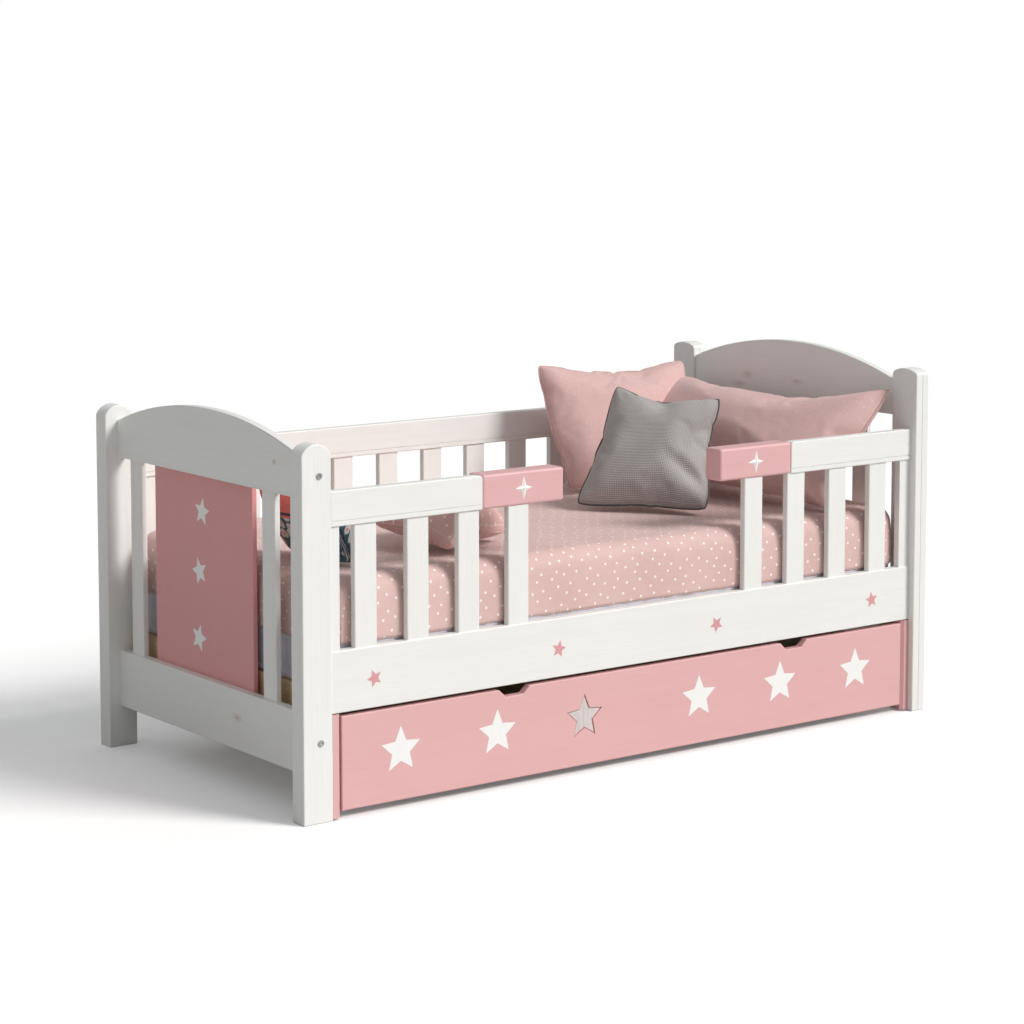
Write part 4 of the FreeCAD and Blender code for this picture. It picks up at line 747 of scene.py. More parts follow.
@dataclass(frozen=True)
class Cotton(Finish):
    """Woven cotton with small printed dots and a sewn line along its edge."""

    name: str
    colour: Colour
    deep: Colour
    dot_pitch: float = 0.027
    dot_radius: float = 0.0030
    dot_share: float = 1.0
    dot_strength: float = 0.9
    dot_colour: Colour = (0.90, 0.84, 0.82)
    threads: float = 620.0
    seam_inset: float = 0.008

    def build(self) -> bpy.types.Material:
        """Makes the printed cotton.

        Returns:
            The material.
        """
        wires, shader, material = self.start()
        place = self.on_cloth(wires)
        at = self.everywhere(wires)
        woven = Effects.place(wires, Effects.weave(), Place=place, Threads=self.threads)
        cloud = Effects.place(wires, Effects.clouding(), Vector=at, Scale=7.0)
        spots = Effects.place(wires, Effects.dots(), Place=place, Pitch=self.dot_pitch,
                              Radius=self.dot_radius, Share=self.dot_share)["Mask"]
        seam = Effects.place(wires, Effects.seam_line(), Place=place, Inset=self.seam_inset)
        shade = wires.plus(wires.times(woven["Shade"], 0.24),
                            wires.times(cloud["Slow"], 0.34), True)
        colour = wires.blend(shade, self.colour, self.deep)
        colour = wires.blend(wires.times(spots, self.dot_strength), colour, self.dot_colour)
        # Painted shade: the colour darkens along the seam's groove.
        colour = wires.blend(wires.times(seam["Groove"], 0.35), colour, self.deep)
        colour = wires.blend(wires.times(seam["Stitch"], 0.5), colour, self.dot_colour)
        sunk = wires.maths("SUBTRACT", wires.times(woven["Height"], 0.30), seam["Groove"])
        self.join(wires, shader, colour, wires.spread(woven["Shade"], 0.0, 1.0, 0.74, 0.92),
                  wires.relief(sunk, 0.9 * MM, 0.7), Sheen_Weight=0.25, Sheen_Roughness=0.45,
                  Specular_IOR_Level=0.25)
        return material


@dataclass(frozen=True)
class Knitted(Finish):
    """Rib knit wool: rows of looped stitches, with the gaps between the ribs darkened as painted shade."""

    name: str
    colour: Colour
    deep: Colour
    rib: float = 0.0052
    row: float = 0.0042
    drift: float = 0.0022
    clouds: float = 11.0
    seam_inset: float = 0.006

    def build(self) -> bpy.types.Material:
        """Makes the knit.

        Returns:
            The material.
        """
        wires, shader, material = self.start()
        place = self.on_cloth(wires)
        wander = wires.add("TexNoise", None, Vector=place, Scale=55.0).outputs["Color"]
        drift = wires.scaled(wander, self.drift)
        parts = wires.add("SeparateXYZ", None, Vector=wires.vector("ADD", place, drift)).outputs
        across = wires.times(parts["X"], 2.0 * math.pi / self.rib)
        ribs = wires.maths("ABSOLUTE", wires.maths("SINE", wires.times(across, 0.5)))
        lean = wires.times(wires.maths("COSINE", across), 0.9)
        down = wires.times(parts["Y"], 2.0 * math.pi / self.row)
        loops = wires.maths("SINE", wires.plus(down, lean))
        stitch = wires.times(wires.spread(loops, -1.0, 1.0), ribs)
        fuzz = wires.grainy(place, 900.0, 3.0, 0.7)
        height = wires.plus(wires.times(stitch, 0.75), wires.times(fuzz, 0.25))
        cloud = Effects.place(wires, Effects.clouding(), Vector=place, Scale=self.clouds)
        seam = Effects.place(wires, Effects.seam_line(), Place=place, Inset=self.seam_inset)
        # Painted shade: the lower the knit's surface, the darker its colour, so the gaps between ribs and loops
        # are shaded.
        pale = wires.plus(wires.spread(height, 0.10, 0.75), wires.times(cloud["Slow"], 0.20), True)
        colour = wires.blend(pale, self.deep, self.colour)
        # Painted shade: the colour darkens along the seam's groove.
        self.join(wires, shader, wires.blend(wires.times(seam["Groove"], 0.5), colour, self.deep),
                  wires.spread(fuzz, 0.2, 0.8, 0.80, 0.96), wires.relief(height, 1.3 * MM, 0.9),
                  Sheen_Weight=0.35, Sheen_Roughness=0.5, Specular_IOR_Level=0.2)
        return material


@dataclass(frozen=True)
class Printed(Finish):
    """Dark printed cotton with pale flowers, a dark stripe and a plain bright end."""

    name: str
    ground: Colour = (0.025, 0.085, 0.125)
    leaf: Colour = (0.05, 0.19, 0.23)
    petal: Colour = (0.72, 0.70, 0.66)
    bright: Colour = (0.80, 0.17, 0.14)
    stripe: Colour = (0.02, 0.03, 0.045)
    pitch: float = 0.034
    lobes: float = 5.0
    bright_from: float = 0.030
    stripe_above: float = 0.012
    stripe_half: float = 0.004
    threads: float = 760.0

    def build(self) -> bpy.types.Material:
        """Makes the print.

        Returns:
            The material.
        """
        wires, shader, material = self.start()
        place = self.on_cloth(wires)
        flat = wires.vector("MULTIPLY", place, (1.0, 1.0, 0.0))
        cells = wires.add("TexVoronoi", {"voronoi_dimensions": "2D", "feature": "F1"}, Vector=flat,
                          Scale=1.0 / self.pitch, Randomness=0.75).outputs
        centre = wires.scaled(cells["Position"], self.pitch)
        away = wires.add("SeparateXYZ", None, Vector=wires.vector("SUBTRACT", flat, centre)).outputs
        turn = wires.maths("ARCTAN2", away["Y"], away["X"])
        lobes = wires.maths("COSINE", wires.times(turn, self.lobes))
        reach = wires.maths("MULTIPLY_ADD", lobes, 0.10, third=0.30)
        petals = wires.spread(wires.maths("SUBTRACT", cells["Distance"], reach), 0.02, -0.03)
        heart = wires.spread(cells["Distance"], 0.11, 0.07)
        leaves = wires.spread(wires.grainy(flat, 95.0, 3.0, 0.6), 0.50, 0.58)
        colour = wires.blend(leaves, self.ground, self.leaf)
        colour = wires.blend(petals, colour, self.petal)
        colour = wires.blend(heart, colour, self.bright)
        height = wires.add("SeparateXYZ", None, Vector=place).outputs["Y"]
        above = wires.spread(height, self.bright_from, self.bright_from + 2 * MM)
        colour = wires.blend(above, colour, self.bright)
        band = wires.maths("ABSOLUTE", wires.maths("SUBTRACT", height, self.bright_from + self.stripe_above))
        striped = wires.spread(band, self.stripe_half + 0.5 * MM, self.stripe_half - 0.5 * MM)
        colour = wires.blend(striped, colour, self.stripe)
        woven = Effects.place(wires, Effects.weave(), Place=place, Threads=self.threads)
        colour = wires.blend(wires.times(woven["Shade"], 0.25), colour, self.stripe)
        self.join(wires, shader, colour, wires.spread(woven["Shade"], 0.0, 1.0, 0.68, 0.88),
                  wires.relief(woven["Height"], 0.3 * MM, 0.6), Sheen_Weight=0.15)
        return material


@dataclass(frozen=True)
class Ticking(Finish):
    """Pale mattress jersey with fine knit rows."""

    name: str
    colour: Colour = (0.72, 0.71, 0.76)
    deep: Colour = (0.50, 0.48, 0.55)

    def build(self) -> bpy.types.Material:
        """Makes the jersey.

        Returns:
            The material.
        """
        wires, shader, material = self.start()
        place = self.on_cloth(wires)
        woven = Effects.place(wires, Effects.weave(), Place=place, Threads=500.0)
        cloud = Effects.place(wires, Effects.clouding(), Vector=self.everywhere(wires), Scale=6.0)
        shade = wires.plus(wires.times(woven["Shade"], 0.4),
                            wires.times(cloud["Slow"], 0.3), True)
        self.join(wires, shader, wires.blend(shade, self.colour, self.deep),
                  wires.spread(woven["Shade"], 0.0, 1.0, 0.78, 0.92),
                  wires.relief(woven["Height"], 0.5 * MM, 0.7), Sheen_Weight=0.2)
        return material


@dataclass(frozen=True)
class Palette:
    """Every finish of the bed, named for what it covers."""

    arch_knots: tuple[Knot, ...] = (
        Knot((0.829, 0.159, 0.748), (0.006, 0.013, 0.006)),
        Knot((0.829, 0.190, 0.722), (0.006, 0.018, 0.005)),
        Knot((0.829, -0.023, 0.745), (0.006, 0.014, 0.004)),
        Knot((-0.831, -0.275, 0.716), (0.005, 0.005, 0.004)),
        Knot((-0.831, -0.120, 0.160), (0.005, 0.012, 0.006)),
    )
    white: Colour = (0.845, 0.85, 0.83)
    white_deep: Colour = (0.76, 0.74, 0.70)
    white_worn_and_lit: Colour = (0.90, 0.90, 0.89)
    pink: Colour = (0.75, 0.445, 0.445)
    pink_deep: Colour = (0.66, 0.34, 0.34)
    panel_pink_shaded: Colour = (0.77, 0.34, 0.34)
    pink_worn_and_lit: Colour = (0.86, 0.56, 0.55)

    def white_lacquer(self, along: Along) -> Lacquer:
        """White paint with the grain running that way.

        Args:
            along: the way.

        Returns:
            The finish.
        """
        knots = self.arch_knots if along is Along.WIDTH else ()
        return Lacquer(f"white_lacquer_{along.name.lower()}", self.white, self.white_deep, self.white_worn_and_lit,
                       along, knots=knots)

    def pink_lacquer(self, along: Along) -> Lacquer:
        """Pink paint with the grain running that way.

        Args:
            along: the way.

        Returns:
            The finish.
        """
        return Lacquer(f"pink_lacquer_{along.name.lower()}", self.pink, self.pink_deep, self.pink_worn_and_lit,
                       along, show=0.14, roughness=0.42)

    def panel_lacquer(self) -> Lacquer:
        """The deeper pink of the star panels: a copy of the pink paint, deepened as painted shade for their
        faces turned away from the light.

        Returns:
            The finish.
        """
        return Lacquer("panel_lacquer", self.panel_pink_shaded, self.pink_deep, self.pink_worn_and_lit, Along.HEIGHT,
                       show=0.14, roughness=0.42)

    @staticmethod
    def white_inlay() -> Lacquer:
        """The white of the stars, a little brighter than the boards.

        Returns:
            The finish.
        """
        return Lacquer("white_inlay", (0.90, 0.90, 0.885), (0.80, 0.80, 0.78), (0.93, 0.93, 0.92),
                       Along.HEIGHT, show=0.2, roughness=0.36)

    @staticmethod
    def sunk_inlay() -> Lacquer:
        """The greyer white of the star that lies sunk in the drawer front; the grey is painted shade from its
        recess.

        Returns:
            The finish.
        """
        return Lacquer("sunk_inlay", (0.70, 0.66, 0.64), (0.52, 0.46, 0.45), (0.92, 0.90, 0.89),
                       Along.HEIGHT, show=0.7, roughness=0.45)

    @staticmethod
    def pink_inlay() -> Lacquer:
        """The pink of the small stars in the side rail.

        Returns:
            The finish.
        """
        return Lacquer("pink_inlay", (0.72, 0.36, 0.37), (0.58, 0.25, 0.26), (0.84, 0.55, 0.54),
                       Along.LENGTH, show=0.3)

    @staticmethod
    def pine(along: Along) -> Timber:
        """Waxed pine with the grain running that way.

        Args:
            along: the way.

        Returns:
            The finish.
        """
        return Timber(f"waxed_pine_{along.name.lower()}", (0.80, 0.62, 0.40), (0.58, 0.37, 0.19), along)

    @staticmethod
    def birch_ply() -> Timber:
        """Plywood with a quiet face.

        Returns:
            The finish.
        """
        return Timber("birch_plywood", (0.78, 0.64, 0.46), (0.62, 0.46, 0.28), Along.LENGTH, 12.0, 0.58)


def dress(nodes: Sequence[str], finish: Finish) -> int:
    """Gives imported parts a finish.

    Args:
        nodes: the parts' names.
        finish: what they are covered with.

    Returns:
        How many parts were dressed.
    """
    material = finish.material()
    for name in nodes:
        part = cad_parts[name]
        for slot in part.material_slots:
            slot.material = material
        if not part.material_slots:
            part.data.materials.append(material)
    return len(nodes)


def mesh_piece(name: str, points: np.ndarray, faces: Sequence[Sequence[int]], finish: Finish,
               place: np.ndarray | None = None) -> bpy.types.Object:
    """Makes a smooth piece.

    Args:
        name: the piece's name.
        points: its vertices in metres.
        faces: its faces as rows of vertex numbers.
        finish: its finish.
        place: where each vertex lies on the flat cloth, and how far it is from the edge.

    Returns:
        The piece.
    """
    mesh = bpy.data.meshes.new(name)
    mesh.from_pydata(points.tolist(), [], [list(face) for face in faces])
    if place is not None:
        spots = mesh.attributes.new(PLACE, "FLOAT_VECTOR", "POINT")
        spots.data.foreach_set("vector", np.ascontiguousarray(place, np.float32).ravel())
    mesh.polygons.foreach_set("use_smooth", [True] * len(mesh.polygons))
    mesh.materials.append(finish.material())
    mesh.update()
    piece = bpy.data.objects.new(name, mesh)
    bpy.context.scene.collection.objects.link(piece)
    return piece


def settle(piece: bpy.types.Object) -> bpy.types.Object:
    """Applies a piece's modifiers to its mesh.

    Args:
        piece: the piece.

    Returns:
        The same piece.
    """
    graph = bpy.context.evaluated_depsgraph_get()
    graph.update()
    shaped = bpy.data.meshes.new_from_object(piece.evaluated_get(graph), preserve_all_data_layers=True,
                                             depsgraph=graph)
    old = piece.data
    piece.modifiers.clear()
    piece.data = shaped
    shaped.name = piece.name
    bpy.data.meshes.remove(old)
    return piece


def finer(piece: bpy.types.Object, levels: int = 1) -> bpy.types.Object:
    """Subdivides a piece's surface and keeps the result.

    Args:
        piece: the piece.
        levels: how many times.

    Returns:
        The same piece.
    """
    smooth = piece.modifiers.new("finer", "SUBSURF")
    smooth.levels = smooth.render_levels = levels
    return settle(piece)


def tube(name: str, line: np.ndarray, radius: float, finish: Finish, sides: int = 8) -> bpy.types.Object:
    """Makes a closed round cord, such as the piping of a cushion.

    Args:
        name: the piece's name.
        line: the points that it goes through, first and last joined.
        radius: its radius.
        finish: its finish.
        sides: how many faces go round it.

    Returns:
        The piece.
    """
    count = len(line)
    ahead, behind = np.roll(line, -1, axis=0), np.roll(line, 1, axis=0)
    way = ahead - behind
    way /= np.linalg.norm(way, axis=1, keepdims=True)
    side = np.cross(way, (0.0, 0.0, 1.0))
    side /= np.maximum(np.linalg.norm(side, axis=1, keepdims=True), 1e-6)
    up = np.cross(side, way)
    turns = np.arange(sides) / sides * 2 * math.pi
    rings = line[:, None] + radius * (np.cos(turns)[None, :, None] * side[:, None]
                                      + np.sin(turns)[None, :, None] * up[:, None])
    run = np.concatenate([[0.0], np.cumsum(np.linalg.norm(np.diff(line, axis=0), axis=1))])
    place = np.stack([np.repeat(run, sides), np.tile(turns * radius, count), np.full(count * sides, UNSEWN)],
                     axis=1)
    faces = [(i * sides + j, i * sides + (j + 1) % sides, (i + 1) % count * sides + (j + 1) % sides,
              (i + 1) % count * sides + j) for i in range(count) for j in range(sides)]
    return mesh_piece(name, rings.reshape(-1, 3), faces, finish, place)


def rough(points: np.ndarray, scale: Point, seed: float) -> np.ndarray:
    """Reads smooth noise at many points.

    Args:
        points: where it is read, in metres.
        scale: how many swells there are in a metre, along each axis.
        seed: shifts the noise, so that two uses differ.

    Returns:
        One number from about -1 to 1 for each point.
    """
    shifted = points * np.array(scale) + seed
    return np.array([noise.noise(Vector(spot)) for spot in shifted])


@dataclass(frozen=True)
class Swell:
    """Noise that raises a cloth: swells in a metre along each axis, a seed, and a height in metres."""

    scale: Point
    seed: float
    height: float

    def over(self, points: np.ndarray) -> np.ndarray:
        """Reads the swell.

        Args:
            points: where it is read, in metres.

        Returns:
            How far it raises each point.
        """
        return rough(points, self.scale, self.seed) * self.height


@dataclass
class Mattress:
    """Foam mattress in a jersey cover, with taped edges and upright quilting round its side.

    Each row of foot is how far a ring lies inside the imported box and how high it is. Each row of brow is the
    same, measured from the top. band is the room left at the foot and at the top, and the rings in between.
    """

    taped: float = 0.004
    corner: float = 0.058
    tightest: float = 0.012
    under_sheet: float = 0.012
    quilt_pitch: float = 0.055
    quilt_depth: float = 0.0016
    quilt_from: float = 0.020
    band: tuple[float, float, int] = (0.026, 0.040, 20)
    foot: tuple[tuple[float, float], ...] = (
        (0.030, 0.0), (0.010, 0.0), (0.003, 0.003), (0.0016, 0.007), (-0.001, 0.011), (0.0016, 0.015),
        (0.004, 0.019))
    brow: tuple[tuple[float, float], ...] = (
        (0.007, -0.030), (0.016, -0.014), (0.034, -0.003), (0.060, 0.0), (0.120, 0.0))
    count: int = 720
    finish: Ticking = Ticking("mattress_cover")

    def ring(self, half: tuple[float, float], radius: float) -> tuple[np.ndarray, np.ndarray]:
        """Walks round a rounded rectangle.

        Args:
            half: its half sizes.
            radius: its corner radius.

        Returns:
            The points, and how far round each lies.
        """
        wide, deep = half[0] - radius, half[1] - radius
        quarter = math.pi / 2 * radius
        runs = [2 * wide, quarter, 2 * deep, quarter] * 2
        whole = sum(runs)
        starts = [(-wide, -half[1], 0.0), (wide, -deep, -90.0), (half[0], -deep, 90.0), (wide, deep, 0.0),
                  (wide, half[1], 180.0), (-wide, deep, 90.0), (-half[0], deep, 270.0),
                  (-wide, -deep, 180.0)]
        points, distance = [], np.arange(self.count) / self.count * whole
        for far in distance:
            leg, rest = 0, far
            while rest > runs[leg]:
                rest -= runs[leg]
                leg += 1
            x, y, turn = starts[leg]
            angle = math.radians(turn)
            if leg % 2:
                angle += rest / radius
                points.append((x + radius * math.cos(angle), y + radius * math.sin(angle)))
            else:
                points.append((x + rest * math.cos(angle), y + rest * math.sin(angle)))
        return np.array(points), distance

    def build(self) -> bpy.types.Object:
        """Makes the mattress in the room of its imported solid.

        Returns:
            The piece.
        """
        low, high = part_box("mattress")
        middle, half = (low + high) / 2, (high - low) / 2
        tall = high.z - self.under_sheet - low.z
        above_foot, below_top, rows = self.band
        levels = [*self.foot]
        levels += [(self.taped, float(height)) for height in np.linspace(above_foot, tall - below_top, rows)]
        levels += [(inset, tall + height) for inset, height in self.brow]
        n = self.count
        points, places = [], []
        for inset, height in levels:
            plan, run = self.ring((half.x - inset, half.y - inset), max(self.corner - inset, self.tightest))
            if inset == self.taped and height > self.quilt_from:
                puffed = self.quilt_depth * np.abs(np.sin(run * math.pi / self.quilt_pitch)) ** 0.6
                plan = plan + plan / np.linalg.norm(plan, axis=1, keepdims=True) * puffed[:, None]
            points.append(np.column_stack([plan[:, 0] + middle.x, plan[:, 1] + middle.y,
                                           np.full(n, low.z + height)]))
            places.append(np.column_stack([run, np.full(n, height), np.full(n, UNSEWN)]))
        faces = [(r * n + i, r * n + (i + 1) % n, (r + 1) * n + (i + 1) % n, (r + 1) * n + i)
                 for r in range(len(levels) - 1) for i in range(n)]
        faces += [tuple(range(n))[::-1], tuple((len(levels) - 1) * n + i for i in range(n))]
        piece = mesh_piece("mattress_in_cover", np.concatenate(points), faces, self.finish,
                           np.concatenate(places))
        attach(piece, BED)
        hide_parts("mattress")
        return piece


@dataclass
class FittedSheet:
    """Fitted sheet: one cloth pulled over the mattress, gathered at its corners by an elastic hem."""

    corner: float = 0.062
    edge: float = 0.040
    sunk: float = 0.0012
    hem_in: float = 0.010
    hem_share: float = 0.10
    gather: float = 0.0032
    gathers: float = 34.0
    gather_reach: float = 2.2
    cell: float = 0.0085
    swell: float = 0.0022
    thick: float = 0.0009
    broad: Swell = Swell((3.0, 5.0, 1.0), 3.1, 0.0016)
    narrow: Swell = Swell((9.0, 24.0, 1.0), 7.7, 0.0009)
    folds: Swell = Swell((16.0, 7.0, 1.0), 12.3, 0.0014)
    drape: Swell = Swell((26.0, 26.0, 1.0), 5.5, 0.0012)
    finish: Cotton = Cotton("sheet_cotton", (0.70, 0.50, 0.47), (0.60, 0.39, 0.36), dot_pitch=0.0265,
                            dot_radius=0.0031)

    def build(self) -> bpy.types.Object:
        """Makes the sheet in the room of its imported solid.

        Returns:
            The piece.
        """
        low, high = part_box("fitted_sheet")
        middle, half = (low + high) / 2, (high - low) / 2
        flat_x, flat_y = half.x - self.corner, half.y - self.corner
        straight = self.corner - self.edge
        bend = self.edge * math.pi / 2
        fall = high.z - low.z - self.edge
        reach = straight + bend + fall
        cut = (flat_x + reach, flat_y + reach)
        counts = [2 * round(size / self.cell) for size in cut]
        x, y = (np.linspace(-size, size, count + 1) for size, count in zip(cut, counts))
        across, along = np.meshgrid(x, y)
        out_x = np.clip(np.abs(across) - flat_x, 0.0, None)
        out_y = np.clip(np.abs(along) - flat_y, 0.0, None)
        round_x = out_x * np.sqrt(1 - out_y ** 2 / (2 * reach ** 2))
        round_y = out_y * np.sqrt(1 - out_x ** 2 / (2 * reach ** 2))
        far = np.hypot(round_x, round_y)
        way_x = np.where(far > 0, round_x / np.maximum(far, TINY), 0.0) * np.sign(across)
        way_y = np.where(far > 0, round_y / np.maximum(far, TINY), 0.0) * np.sign(along)
        turn = np.clip((far - straight) / self.edge, 0.0, math.pi / 2)
        down = np.clip(far - straight - bend, 0.0, None)
        out = np.where(far < straight, far, straight + self.edge * np.sin(turn))
        drop = self.edge * (1 - np.cos(turn)) + down
        share = np.clip(down / fall, 0.0, 1.0)
        folded = np.minimum(round_x, round_y) / np.maximum(far, TINY)
        angle = np.arctan2(round_y, np.maximum(round_x, TINY))
        gathered = np.clip(folded * self.gather_reach, 0.0, 1.0) * share
        gathers = self.gather * np.sin(angle * self.gathers) * gathered
        tucked = -self.hem_in * np.clip((share - 1.0) / self.hem_share + 1.0, 0.0, 1.0) ** 2
        swollen = self.swell * np.sin(share * math.pi) ** 0.8
        out = out + gathers + tucked + swollen
        place = np.column_stack([(np.sign(across) * (np.minimum(np.abs(across), flat_x) + round_x)).ravel(),
                                 (np.sign(along) * (np.minimum(np.abs(along), flat_y) + round_y)).ravel(),
                                 (reach - far).ravel()])
        at_x = np.clip(across, -flat_x, flat_x) + way_x * out + middle.x
        at_y = np.clip(along, -flat_y, flat_y) + way_y * out + middle.y
        level = np.column_stack([place[:, 0], place[:, 1], np.zeros(place.shape[0])])
        swells = self.broad.over(level) + self.narrow.over(level) - np.abs(self.folds.over(level))
        upper = np.clip(1.0 - share * 2.0, 0.0, 1.0)
        at_z = high.z - self.sunk - drop + swells.reshape(across.shape) * upper
        sides = self.drape.over(level).reshape(across.shape) * share
        at_x, at_y = at_x + way_x * sides, at_y + way_y * sides
        columns, rows = len(x), len(y)
        points = np.column_stack([at_x.ravel(), at_y.ravel(), at_z.ravel()])
        faces = [(r * columns + c, r * columns + c + 1, (r + 1) * columns + c + 1, (r + 1) * columns + c)
                 for r in range(rows - 1) for c in range(columns - 1)]
        piece = mesh_piece("sheet_on_mattress", points, faces, self.finish, place)
        cloth = piece.modifiers.new("cloth", "SOLIDIFY")
        cloth.thickness, cloth.offset = self.thick, -1.0
        finer(piece)
        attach(piece, BED)
        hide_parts("fitted_sheet")
        return piece


@dataclass(frozen=True)
class Crease:
    """A fold pressed into a cushion: a line on its face, from -1 to 1 each way."""

    start: tuple[float, float]
    end: tuple[float, float]
    depth: float
    width: float


@dataclass
class Cushion:
    """A sewn and stuffed cover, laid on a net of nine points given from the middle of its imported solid.

    pull is the share of the simulated outline that is kept, blunt is how far the corners are drawn in, and full
    is the power that rounds the section (the lower, the fuller). back scales the depth behind the net, and what
    it takes away is added in front.
    """

    name: str
    node: str
    slot: str
    finish: Finish
    piping: Finish
    flat: tuple[float, float]
    thick: float
    net: tuple[Point, ...]
    back: float = 0.75
    fill: float = 0.6
    cell: float = 0.008
    seam: float = 0.0013
    pressure: float = 4.0
    wrinkle: float = 0.0010
    pull: float = 0.45
    blunt: float = 0.05
    full: float = 0.75
    puff: float = 0.012
    soft: float = 0.006
    seam_gap: float = 0.013
    off_sheet: float = 0.0010
    creases: tuple[Crease, ...] = ()
    limits: tuple[Point, Point] = ((-9.0, -0.398, -9.0), (0.825, 0.398, 9.0))

    def grid(self) -> tuple[np.ndarray, list[tuple[int, ...]], list[int]]:
        """Makes the cover flat: two layers that share their rim.

        Returns:
            The points, the faces, and the rim's points in order.
        """
        wide, tall = self.flat
        columns, rows = (2 * round(size / self.cell / 2) for size in self.flat)
        number, points = {}, []
        for layer in (1, -1):
            for r in range(rows + 1):
                for c in range(columns + 1):
                    rim = r in (0, rows) or c in (0, columns)
                    key = (0 if rim else layer, r, c)
                    if key not in number:
                        s, t = 2 * c / columns - 1, 2 * r / rows - 1
                        lift = 0.0 if rim else layer * self.puff * math.sqrt((1 - s * s) * (1 - t * t))
                        number[key] = len(points)
                        points.append((s * wide / 2, t * tall / 2, lift))
        faces = []
        for layer in (1, -1):
            for r in range(rows):
                for c in range(columns):
                    ring = [(r, c), (r, c + 1), (r + 1, c + 1), (r + 1, c)]
                    face = [number.get((0, *spot), number.get((layer, *spot))) for spot in ring]
                    faces.append(tuple(face if layer > 0 else face[::-1]))
        walk = [(0, c) for c in range(columns)] + [(r, columns) for r in range(rows)]
        walk += [(rows, c) for c in range(columns, 0, -1)] + [(r, 0) for r in range(rows, 0, -1)]
        return np.array(points), faces, [number[(0, *spot)] for spot in walk]

    def loose(self, points: np.ndarray, faces: list[tuple[int, ...]], at: float) -> bpy.types.Object:
        """Makes the cloth that is blown up, off to one side of the others.

        Args:
            points: the flat cover.
            faces: its faces.
            at: how far to the side it stands.

        Returns:
            The cloth, with its simulation set.
        """
        mesh = bpy.data.meshes.new(self.name + "_loose")
        mesh.from_pydata((points + (at, 0.0, LOFT)).tolist(), [], faces)
        cover = bpy.data.objects.new(mesh.name, mesh)
        bpy.context.scene.collection.objects.link(cover)
        cloth = cover.modifiers.new("cloth", "CLOTH").settings
        cloth.quality = 6
        cloth.mass = 0.15
        cloth.tension_stiffness = cloth.compression_stiffness = 18.0
        cloth.shear_stiffness = 6.0
        cloth.bending_stiffness = 0.4
        cloth.use_pressure = True
        cloth.uniform_pressure_force = self.pressure
        cloth.effector_weights.gravity = 0.0
        return cover

    def laid(self, flat: np.ndarray, blown: np.ndarray) -> np.ndarray:
        """Lays the blown cover on its net, presses its creases in, and keeps it off its neighbours.

        Args:
            flat: the flat cover.
            blown: the cover after the simulation.

        Returns:
            The points in the bed's frame.
        """
        half = np.array(self.flat) / 2
        corner = np.max(np.abs(blown[:, :2]), axis=0)
        flat_s, flat_t = flat[:, 0] / half[0], flat[:, 1] / half[1]
        blunt = 1 - self.blunt * np.abs(flat_s * flat_t) ** 6
        s = (self.pull * blown[:, 0] / corner[0] + (1 - self.pull) * flat_s) * blunt
        t = (self.pull * blown[:, 1] / corner[1] + (1 - self.pull) * flat_t) * blunt
        risen = np.abs(blown[:, 2]) / np.max(np.abs(blown[:, 2]))
        off = np.sign(blown[:, 2]) * risen ** self.full * self.thick / 2
        off = np.where(off < 0, off * self.back, off * (2 - self.back))
        rim = np.sqrt(np.clip((1 - flat_s ** 2) * (1 - flat_t ** 2), 0.0, 1.0))
        for crease in self.creases:
            start, end = np.array(crease.start), np.array(crease.end)
            run = end - start
            spot = np.stack([flat_s, flat_t], axis=1) - start
            along = np.clip(spot @ run / (run @ run), 0.0, 1.0)
            away = np.linalg.norm(spot - along[:, None] * run, axis=1) / crease.width
            fade = np.sin(np.clip(along, 0.02, 0.98) * math.pi) ** 0.5
            off = off - np.where(off > 0, crease.depth * fade * np.exp(-away ** 2), 0.0)
        net = np.array(self.net, float).reshape(3, 3, 3) * MM
        places = [np.stack([v * (v - 1) / 2, 1 - v * v, v * (v + 1) / 2], axis=1) for v in (t, s)]
        slopes = [np.stack([v - 0.5, -2 * v, v + 0.5], axis=1) for v in (t, s)]
        at = np.einsum("pi,pj,ijk->pk", places[0], places[1], net)
        right = np.einsum("pi,pj,ijk->pk", places[0], slopes[1], net)
        up = np.einsum("pi,pj,ijk->pk", slopes[0], places[1], net)
        facing = np.cross(right, up)
        facing /= np.linalg.norm(facing, axis=1, keepdims=True)
        layered = np.column_stack([flat[:, :2], np.sign(flat[:, 2]) * 0.3])
        crumple = rough(layered, (16.0, 16.0, 1.0), len(self.name))
        crumple += 0.5 * rough(layered, (40.0, 40.0, 1.0), 2.0)
        points = at + facing * (off + crumple * self.wrinkle * rim)[:, None]
        low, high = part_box(self.node)
        return self.rested(points + np.array((low + high) / 2))

    def rested(self, points: np.ndarray) -> np.ndarray:
        """Flattens a cushion where it lies on the bed or leans on a board.

        Args:
            points: the cushion in the bed's frame.

        Returns:
            The points, none of them past a limit.
        """
        low, high = (np.array(limit) for limit in self.limits)
        low[2] = max(low[2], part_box("fitted_sheet")[1].z + self.off_sheet)
        points = low + self.pressed(points - low)
        return high - self.pressed(high - points)

    def pressed(self, gap: np.ndarray) -> np.ndarray:
        """Keeps gaps above nought, and leaves the wide ones as they are.

        Args:
            gap: how far each point is from a limit, along each axis.

        Returns:
            The gaps after pressing.
        """
        near = 2 * self.soft
        return np.where(gap > near, gap, near * np.exp(np.clip(gap / near - 1, -9, 0)))

